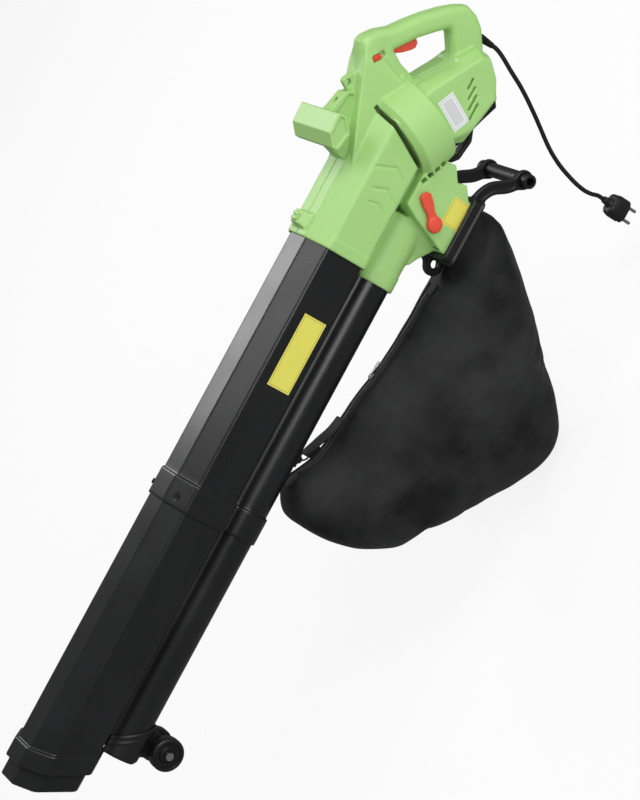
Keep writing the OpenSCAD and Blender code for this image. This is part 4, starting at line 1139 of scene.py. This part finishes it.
# %% Rings of the sack
BAG_STATIONS = [(-361, -176, -225, 0.26, 0.9), (-352, -143, -277, 0.55, 1),
                (-326, -123, -330, 0.75, 1.1), (-305, -121, -350, 0.81, 1.2),
                (-285, -132, -364, 0.86, 1.3), (-252, -147, -392, 0.93, 1.4),
                (-200, -151, -433, 0.98, 1.5), (-155, -157, -468, 1, 1.5),
                (-112, -165, -494, 1, 1.5), (-66, -169, -492, 0.97, 1.5),
                (-25, -172, -456, 0.95, 1.4), (12, -173, -413, 0.92, 1.3),
                (56, -178, -360, 0.87, 1.0), (98, -170, -305, 0.78, 0.8),
                (130, -168, -254, 0.70, 0.8), (154, -170, -207, 0.60, 0.8)]
BAG_HALF, BAG_SHRINK, BAG_RING, ZIP_HALF, ROUND = 85, 4.0, 48, 9, 0.9
print("the sack is drawn", BAG_STATIONS[-1][0] - BAG_STATIONS[0][0], "mm long")


def signed_power(value, power):
    """A power that keeps the sign: it squares a circle off, or draws it in."""
    return math.copysign(abs(value) ** power, value)


def bag_ring(x, top, low, share, crest, shrink):
    """One ring of the sack: flat on top where the zip lies, full below."""
    middle, tall, half = (top + low) / 2, (top - low) / 2 - shrink, BAG_HALF * share - shrink
    flat = ZIP_HALF * min(1, half / 60)
    ring = []
    for a in around(BAG_RING):
        side, up = math.cos(a), math.sin(a)
        y = ((half - flat) * signed_power(side, crest) + flat * math.tanh(side * 8) if up > 0
             else half * signed_power(side, ROUND))
        ring.append((x, y, middle + tall * signed_power(up, ROUND)))
    return ring


def sack(shrink):
    """Points and faces of the closed sack, drawn smaller by shrink millimetres."""
    points, faces = [], []
    for x, top, low, share, crest in smooth_line(BAG_STATIONS, 4):
        x = max(BAG_STATIONS[0][0] + shrink, min(BAG_STATIONS[-1][0] - shrink, x))
        points += bag_ring(x, top, low, share, crest, shrink)
    last = len(points) - BAG_RING
    for low_ring in range(0, last, BAG_RING):
        faces += ring_faces(low_ring, low_ring + BAG_RING, BAG_RING)
    faces += [tuple(range(BAG_RING)), tuple(reversed(range(last, last + BAG_RING)))]
    return points, faces


# %% The sack and its neck, before the cloth pass
NECK_TOP, NECK_LOW, NECK_SPARE, NECK_SQUARE = RIM_LOW - 0.3, RIM_LOW - 40, 3, 0.45
points, faces = sack(BAG_SHRINK)
neck_top = len(points)
neck_low = neck_top + BAG_RING
points += [(BOX_MIDDLE + (BOX_REACH + NECK_SPARE) * signed_power(math.cos(a), NECK_SQUARE),
            (BOX_HALF + NECK_SPARE) * signed_power(math.sin(a), NECK_SQUARE), level)
           for level in (NECK_TOP, NECK_LOW) for a in around(BAG_RING)]
faces += [(neck_top + j, neck_low + j, neck_low + (j + 1) % BAG_RING, neck_top + (j + 1) % BAG_RING)
          for j in range(BAG_RING)]
faces += [tuple(range(neck_top, neck_low)), tuple(reversed(range(neck_low, neck_low + BAG_RING)))]
bag = mesh_piece("bag_sack", points, faces)
sewn = bmesh.new()
sewn.from_mesh(bag.data)
bmesh.ops.recalc_face_normals(sewn, faces=sewn.faces)
sewn.to_mesh(bag.data)
sewn.free()
remesh = bag.modifiers.new("remesh", "REMESH")
remesh.mode, remesh.voxel_size = "VOXEL", detail(5, 8) * MM
apply_modifiers(bag)
settle(bag, 6)
print("sack", len(bag.data.vertices), "points")

# %% The cloth pass
BAG_PRESSURE, BAG_CAP, BAG_FRAMES, BAG_HELD = 4.0, 9 * MM, 20, 12


def inflate(made, held_above):
    """Blows a closed piece up under pressure, with the points above a level held."""
    before = [v.co.copy() for v in made.data.vertices]
    held = made.vertex_groups.new(name="held")
    held.add([v.index for v in made.data.vertices if v.co.z > held_above], 1.0, "REPLACE")
    cloth = made.modifiers.new("cloth", "CLOTH")
    settings = cloth.settings
    settings.quality, settings.mass = 5, 0.25
    settings.tension_stiffness = settings.compression_stiffness = 15
    settings.shear_stiffness, settings.bending_stiffness = 5, 0.5
    settings.use_pressure, settings.uniform_pressure_force = True, BAG_PRESSURE
    settings.effector_weights.gravity = 0
    settings.vertex_group_mass = "held"
    cloth.collision_settings.use_collision = False
    cloth.collision_settings.use_self_collision = False
    for number in range(1, BAG_FRAMES + 1):
        scene.frame_set(number)
    apply_modifiers(made)
    moved = 0.0
    for vertex, old in zip(made.data.vertices, before):
        step = vertex.co - old
        if step.length > BAG_CAP:
            vertex.co = old + step.normalized() * BAG_CAP
        moved = max(moved, (vertex.co - old).length)
    scene.frame_set(1)
    made.vertex_groups.clear()
    print("cloth pass moved points by up to", round(moved / MM, 1), "mm")


def subdivide(made):
    """Splits every face in four and rounds the mesh, with all its modifiers baked in."""
    finer = made.modifiers.new("finer", "SUBSURF")
    finer.levels = finer.render_levels = 1
    apply_modifiers(made)


inflate(bag, at(0, 0, NECK_TOP - BAG_HELD).z)
settle(bag, 2)
subdivide(bag)

# %% [markdown]
# ## Folds, seams and the zip
# Slack cloth folds where it hangs from the frame and where its corners gather. The
# folds are waves of noise pulled out along the cloth, strongest near the seams. The
# zip lies in a flat band on top, between two piped seams, with a lip of cloth
# standing up beside it.

# %% Folds
FOLD_DEPTH, FOLD_FINE, FOLD_RIPPLE, SEAM_REACH, NECK_FADE = 3.0, 0.45, 0.8, 30, 30


def fold(made, depth):
    """Moves each point along its normal by stretched noise."""
    mesh = made.data
    places = [v.co.copy() for v in mesh.vertices]
    normals = [v.normal.copy() for v in mesh.vertices]
    for place, normal in zip(places, normals):
        x, y, z = (place - bench) / MM
        along = (x + 0.9 * z) / 300
        wide = noise.noise(Vector((along * 1.4, y / 160, (z - 0.7 * x) / 90)))
        fine = noise.noise(Vector((x / 70 + 5, y / 45, z / 38)))
        near_seam = math.exp(-((abs(y) / SEAM_REACH) ** 2))
        ripple = noise.noise(Vector((x / 26 + 9, 3, z / 60)))
        neck = min(1.0, max(0.0, (RIM_LOW - 14 - z) / NECK_FADE))
        waves = wide + FOLD_FINE * fine + FOLD_RIPPLE * near_seam * ripple
        place += normal * (depth * MM * neck * waves)
    mesh.vertices.foreach_set("co", [c for place in places for c in place])
    mesh.update()


fold(bag, FOLD_DEPTH)
bag.data.shade_smooth()
fit(bag, bag_cloth, "bag", "bag_body")

# %% Strips and piping that lie on the bag
bag_tree = BVHTree.FromObject(bag, bpy.context.evaluated_depsgraph_get())


def on_bag(x, y):
    """The height of the bag's upper surface at a place, in workbench millimetres."""
    hit = bag_tree.ray_cast(at(x, y, -100), Vector((0, 0, -1)))[0]
    return ((hit - bench) / MM).z


def ribbon(name, rows, thickness, finish, body, *nodes):
    """A strip of cloth through rows of points, with real thickness and soft edges."""
    width = len(rows[0])
    corners = [i * width + j for i in range(len(rows) - 1) for j in range(width - 1)]
    made = mesh_piece(name, [p for row in rows for p in row],
                      [(k, k + width, k + width + 1, k + 1) for k in corners])
    thick = made.modifiers.new("thick", "SOLIDIFY")
    thick.thickness, thick.offset = thickness * MM, 0
    subdivide(made)
    made.data.shade_smooth()
    return fit(made, finish, body, *nodes)


def piping(name, line, radius, finish, body, closed=False, sides=10):
    """A thin round cord along a line of places."""
    points, faces, count = [], [], len(line)
    line = [Vector(p) for p in line]
    for i, place in enumerate(line):
        before, after = i - 1, (i + 1) % count
        if not closed:
            before, after = max(before, 0), min(i + 1, count - 1)
        turn = (line[after] - line[before]).to_track_quat("Z", "Y").to_matrix()
        points += [place + turn @ Vector((math.cos(a), math.sin(a), 0)) * radius
                   for a in around(sides)]
    for i in range(count if closed else count - 1):
        faces += ring_faces(i * sides, (i + 1) % count * sides, sides)
    if not closed:
        faces += [tuple(reversed(range(sides))), tuple(range((count - 1) * sides, count * sides))]
    made = mesh_piece(name, points, faces)
    made.data.shade_smooth()
    return fit(made, finish, body)


# %% Seams and zip
SEAM_RUN = range(-316, 34, 4)
ZIP_RUN = range(-292, 18, 4)


def sway(x):
    """How far the zip wanders to the side."""
    return 2.2 * noise.noise(Vector((x / 45, 7, 0)))


def across_bag(run, offsets, lift=0.0):
    """Rows across the bag's top: sideways offsets with their heights over the cloth."""
    return [[(x, y + sway(x), on_bag(x, y + sway(x)) + up
              + lift * noise.noise(Vector((x / 22, y / 9, 4)))) for y, up in offsets] for x in run]


for name, side_y in (("bag_near_piping", -ZIP_HALF - 1), ("bag_far_piping", ZIP_HALF + 1)):
    piping(name, [row[0] for row in across_bag(SEAM_RUN, [(side_y, 0.5)])], 1.5, tape, "bag")
lip_rows = across_bag(ZIP_RUN, [(-8.5, 0.4), (-8.6, 2.6), (-7.2, 4.6), (-4.6, 5.2)], 1.6)
ribbon("bag_zip_lip", lip_rows, 1.0, bag_cloth, "bag")
tape_rows = across_bag(ZIP_RUN, [(-7, 0.5), (-3, 0.9), (0, 1.0), (3, 0.9), (7, 0.5)])
ribbon("bag_zip_tape", tape_rows, 0.8, tape, "bag", "bag_zip")

# %% The zip's teeth
TOOTH_PITCH, TOOTH_HIGH, TOOTH_TAPER, TOOTH_OFFSET = 2.2, 1.3, 0.7, 0.5
TOOTH_CORNERS = ((-0.7, -1.9), (0.7, -1.9), (0.7, 1.9), (-0.7, 1.9))
TOOTH_FACES = ((3, 2, 1, 0), (4, 5, 6, 7), (0, 1, 5, 4), (1, 2, 6, 5), (2, 3, 7, 6), (3, 0, 4, 7))
tooth_points, tooth_faces = [], []
for number in range(int((ZIP_RUN[-1] - ZIP_RUN[0]) / TOOTH_PITCH)):
    x = ZIP_RUN[0] + number * TOOTH_PITCH
    middle_y = sway(x) + (TOOTH_OFFSET if number % 2 else -TOOTH_OFFSET)
    base_z = on_bag(x, sway(x)) + 1.2
    tooth_faces += [tuple(len(tooth_points) + j for j in face) for face in TOOTH_FACES]
    for dz, taper in ((0, 1), (TOOTH_HIGH, TOOTH_TAPER)):
        tooth_points += [(x + dx * taper, middle_y + dy * taper, base_z + dz)
                         for dx, dy in TOOTH_CORNERS]
fit(mesh_piece("bag_zip_teeth", tooth_points, tooth_faces), fitting_grey, "bag")

# %% [markdown]
# ## The zip's slider and the strap
# The slider is a small cast body with a bridge and a pull tab. The strap is a folded
# tape: it is sewn to the band on top of the bag and hangs in a ring under the tube.

# %% The slider
SLIDER_X = (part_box("zip_slider")[0].x - bench.x) / MM + 5
ZIP_TRAVEL, ZIP_RISE, ZIP_CLEAR, SLIDER_LEAN = 40, 0.111, 1.6, math.radians(6.3)
CAST_PLAN = [(-6, -3), (4, -4.6), (4, 4.6), (-6, 3)]
TAB_PLAN = [(0.5, -1.4), (8, -2.6), (23, -2.6), (23, 2.6), (8, 2.6), (0.5, 1.4)]
TAB_HOLE = [(13, -1.2), (20, -1.2), (20, 1.2), (13, 1.2)]
over_travel = max(on_bag(SLIDER_X - s, 0) - ZIP_RISE * s for s in range(0, ZIP_TRAVEL + 1, 4))
slider_z = min(over_travel, on_bag(SLIDER_X, 0) + 1.5) + ZIP_CLEAR
print("zip slider rides", round(over_travel - on_bag(SLIDER_X, 0), 2), "mm over the cloth at rest")
b = Block((SLIDER_X - 8, -7, slider_z - 1), (SLIDER_X + 27, 7, slider_z + 8), detail(0.45, 0.8))
from_nose = b.x - SLIDER_X
over = b.z - slider_z + from_nose * math.tan(SLIDER_LEAN)
cast = rounded_both(soft_outline(from_nose, b.y, CAST_PLAN, 1.6), band(over, 0.6, 3.8), 0.8)
bridge = np.abs(np.hypot((from_nose + 0.5) * 0.8, over - 3.4) - 2.6) - 0.7
bridge = np.maximum(bridge, np.abs(b.y) - 1.3)
tab = rounded_both(soft_outline(from_nose, b.y, TAB_PLAN, 1.2), band(over, 4.6, 5.8), 0.4)
hole = rounded_both(soft_outline(from_nose, b.y, TAB_HOLE, 0.8), band(over, 3, 8), 0.2)
puller = join(join(cast, bridge, 0.8), carve(tab, hole, 0.3), 0.4)
fit(b.piece("zip_slider_cast", puller), screw_steel, "zip_slider", "zip_slider")

# %% The strap's ring
RING_X, RING_Z, RING_HALF, RING_REACH, RING_WIRE, RING_SQUARE = -276, -120, 12.5, 7, 1.4, 0.7
DIP_X, DIP_Z = 0.80, -0.60
ring_line = []
for a in around(40):
    out = RING_REACH * (1 - math.cos(a))
    ring_line.append((RING_X + DIP_X * out, RING_HALF * signed_power(math.sin(a), RING_SQUARE),
                      RING_Z + DIP_Z * out))
piping("strap_ring", ring_line, RING_WIRE, fitting_grey, "bag", closed=True)

# %% The strap
STRAP_LINE = [(-246, 1, -139), (-258, 0, -134), (-264, 0, -131.6), (-266.4, 0, -129),
              (-265, 0, -126.6), (-260, 0, -127.4), (-248, 1, -133), (-234, 2, -139.5),
              (-221, 2, -145.5), (-208, 2, -149), (-196, 2, -151)]
STRAP_HALF, STRAP_SAG, STRAP_FOLDED, UNDER_LIFT, OVER_LIFT = 12.5, 0.8, 12, 1.0, 2.0
strap_rows = []
for i, (x, y, z) in enumerate(smooth_line(STRAP_LINE, 3)):
    half = STRAP_HALF + 0.6 * noise.noise(Vector((i / 5, 2, 8)))
    lift = UNDER_LIFT if i < STRAP_FOLDED else OVER_LIFT
    strap_rows.append([(x, y + half * share, max(z - STRAP_SAG * share * share,
                                                 on_bag(x, y + half * share) + lift))
                       for share in (-1, -0.6, 0, 0.6, 1)])
ribbon("bag_strap_tape", strap_rows, 1.5, tape, "bag", "bag_strap")

# %% [markdown]
# ## Floor, light and background
# The floor is pale and only catches the soft shadow. A key and a fill lamp light the
# tool about as strongly as its colours are written, and three smaller softboxes are
# placed where the black tubes mirror them. The camera sees the floor and the sky as
# white. Glossy plastic would mirror so much white and turn grey, so both are dimmer
# to reflections.

# %% Floor
FLOOR_GAP, FLOOR_REACH, FLOOR_GREY = 0.004, 14, 0.86
FLOOR_SEEN, FLOOR_ELSE, FLOOR_BARE = 0.82, 0.18, 0.84


def rays(tree):
    """Wires that are 1 for what the camera sees, and 1 for what is mirrored."""
    start = Wire(tree, None)
    return [start.wire("ShaderNodeLightPath", kind) for kind in ("Is Camera Ray", "Is Glossy Ray")]


floor_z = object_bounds()[0][2] - FLOOR_GAP
floor = bpy.data.objects.new("floor", bpy.data.meshes.new("floor"))
scene.collection.objects.link(floor)
floor.data.from_pydata([(x * FLOOR_REACH, y * FLOOR_REACH, floor_z)
                        for x, y in ((-1, -1), (1, -1), (1, 1), (-1, 1))], [], [(0, 1, 2, 3)])
floor_finish = bpy.data.materials.new("pale_floor")
floor_finish.use_nodes = True
tree = floor_finish.node_tree
base = tree.nodes["Principled BSDF"]
base.inputs["Base Color"].default_value = rgb(FLOOR_GREY, FLOOR_GREY, FLOOR_GREY)
base.inputs["Roughness"].default_value = 0.9
seen, glossy = rays(tree)
bare = seen.wire("ShaderNodeEmission", 0, (),
                 {"Color": rgb(1, 1, 1), "Strength": seen * FLOOR_SEEN + FLOOR_ELSE})
shown = seen.maths("MAXIMUM", seen * FLOOR_BARE, glossy)
mixed = seen.wire("ShaderNodeMixShader", 0, (), {0: shown, 1: Wire(tree, base.outputs[0]), 2: bare})
tree.links.new(mixed.socket, tree.nodes["Material Output"].inputs["Surface"])
floor.data.materials.append(floor_finish)
print("the floor lies at", round(floor_z, 4), "m")

# %% Lamps
def lamp(name, place, aim, size, power):
    """A round soft lamp of so many watts, aimed at a place."""
    made = bpy.data.objects.new(name, bpy.data.lights.new(name, "AREA"))
    made.data.shape, made.data.size, made.data.energy = "DISK", size, power
    made.location = place
    made.rotation_euler = (Vector(aim) - Vector(place)).to_track_quat("-Z", "Y").to_euler()
    scene.collection.objects.link(made)


lamp("key_softbox", (1.3, -1.6, 2.6), (-0.4, 0, -0.1), 1.6, 47)
lamp("fill_softbox", (1.6, -2.8, 1.0), (-0.3, 0, -0.1), 2.0, 26)
lamp("tube_softbox", (-0.15, -2.1, 0.98), (-0.25, 0, 0), 1.0, 12)
lamp("top_softbox", (-0.1, -0.15, 2.3), (-0.2, 0, 0), 1.1, 10)
lamp("rear_softbox", (-0.15, 2.0, 1.2), (-0.2, 0, 0), 1.1, 15)
print(len(bpy.data.lights), "lamps")

# %% Sky
SKY, SKY_GLOSS = 0.40, 0.18
sky = bpy.data.worlds.new("sky")
scene.world = sky
sky.use_nodes = True
background = sky.node_tree.nodes["Background"]
seen, glossy = rays(sky.node_tree)
level = seen * (1 - SKY) + glossy * (SKY_GLOSS - SKY) + SKY
sky.node_tree.links.new(level.socket, background.inputs["Strength"])
background.inputs["Color"].default_value = rgb(1, 1, 1)
scene.view_settings.view_transform = "Standard"
print("sky", SKY, "and", SKY_GLOSS, "to reflections")
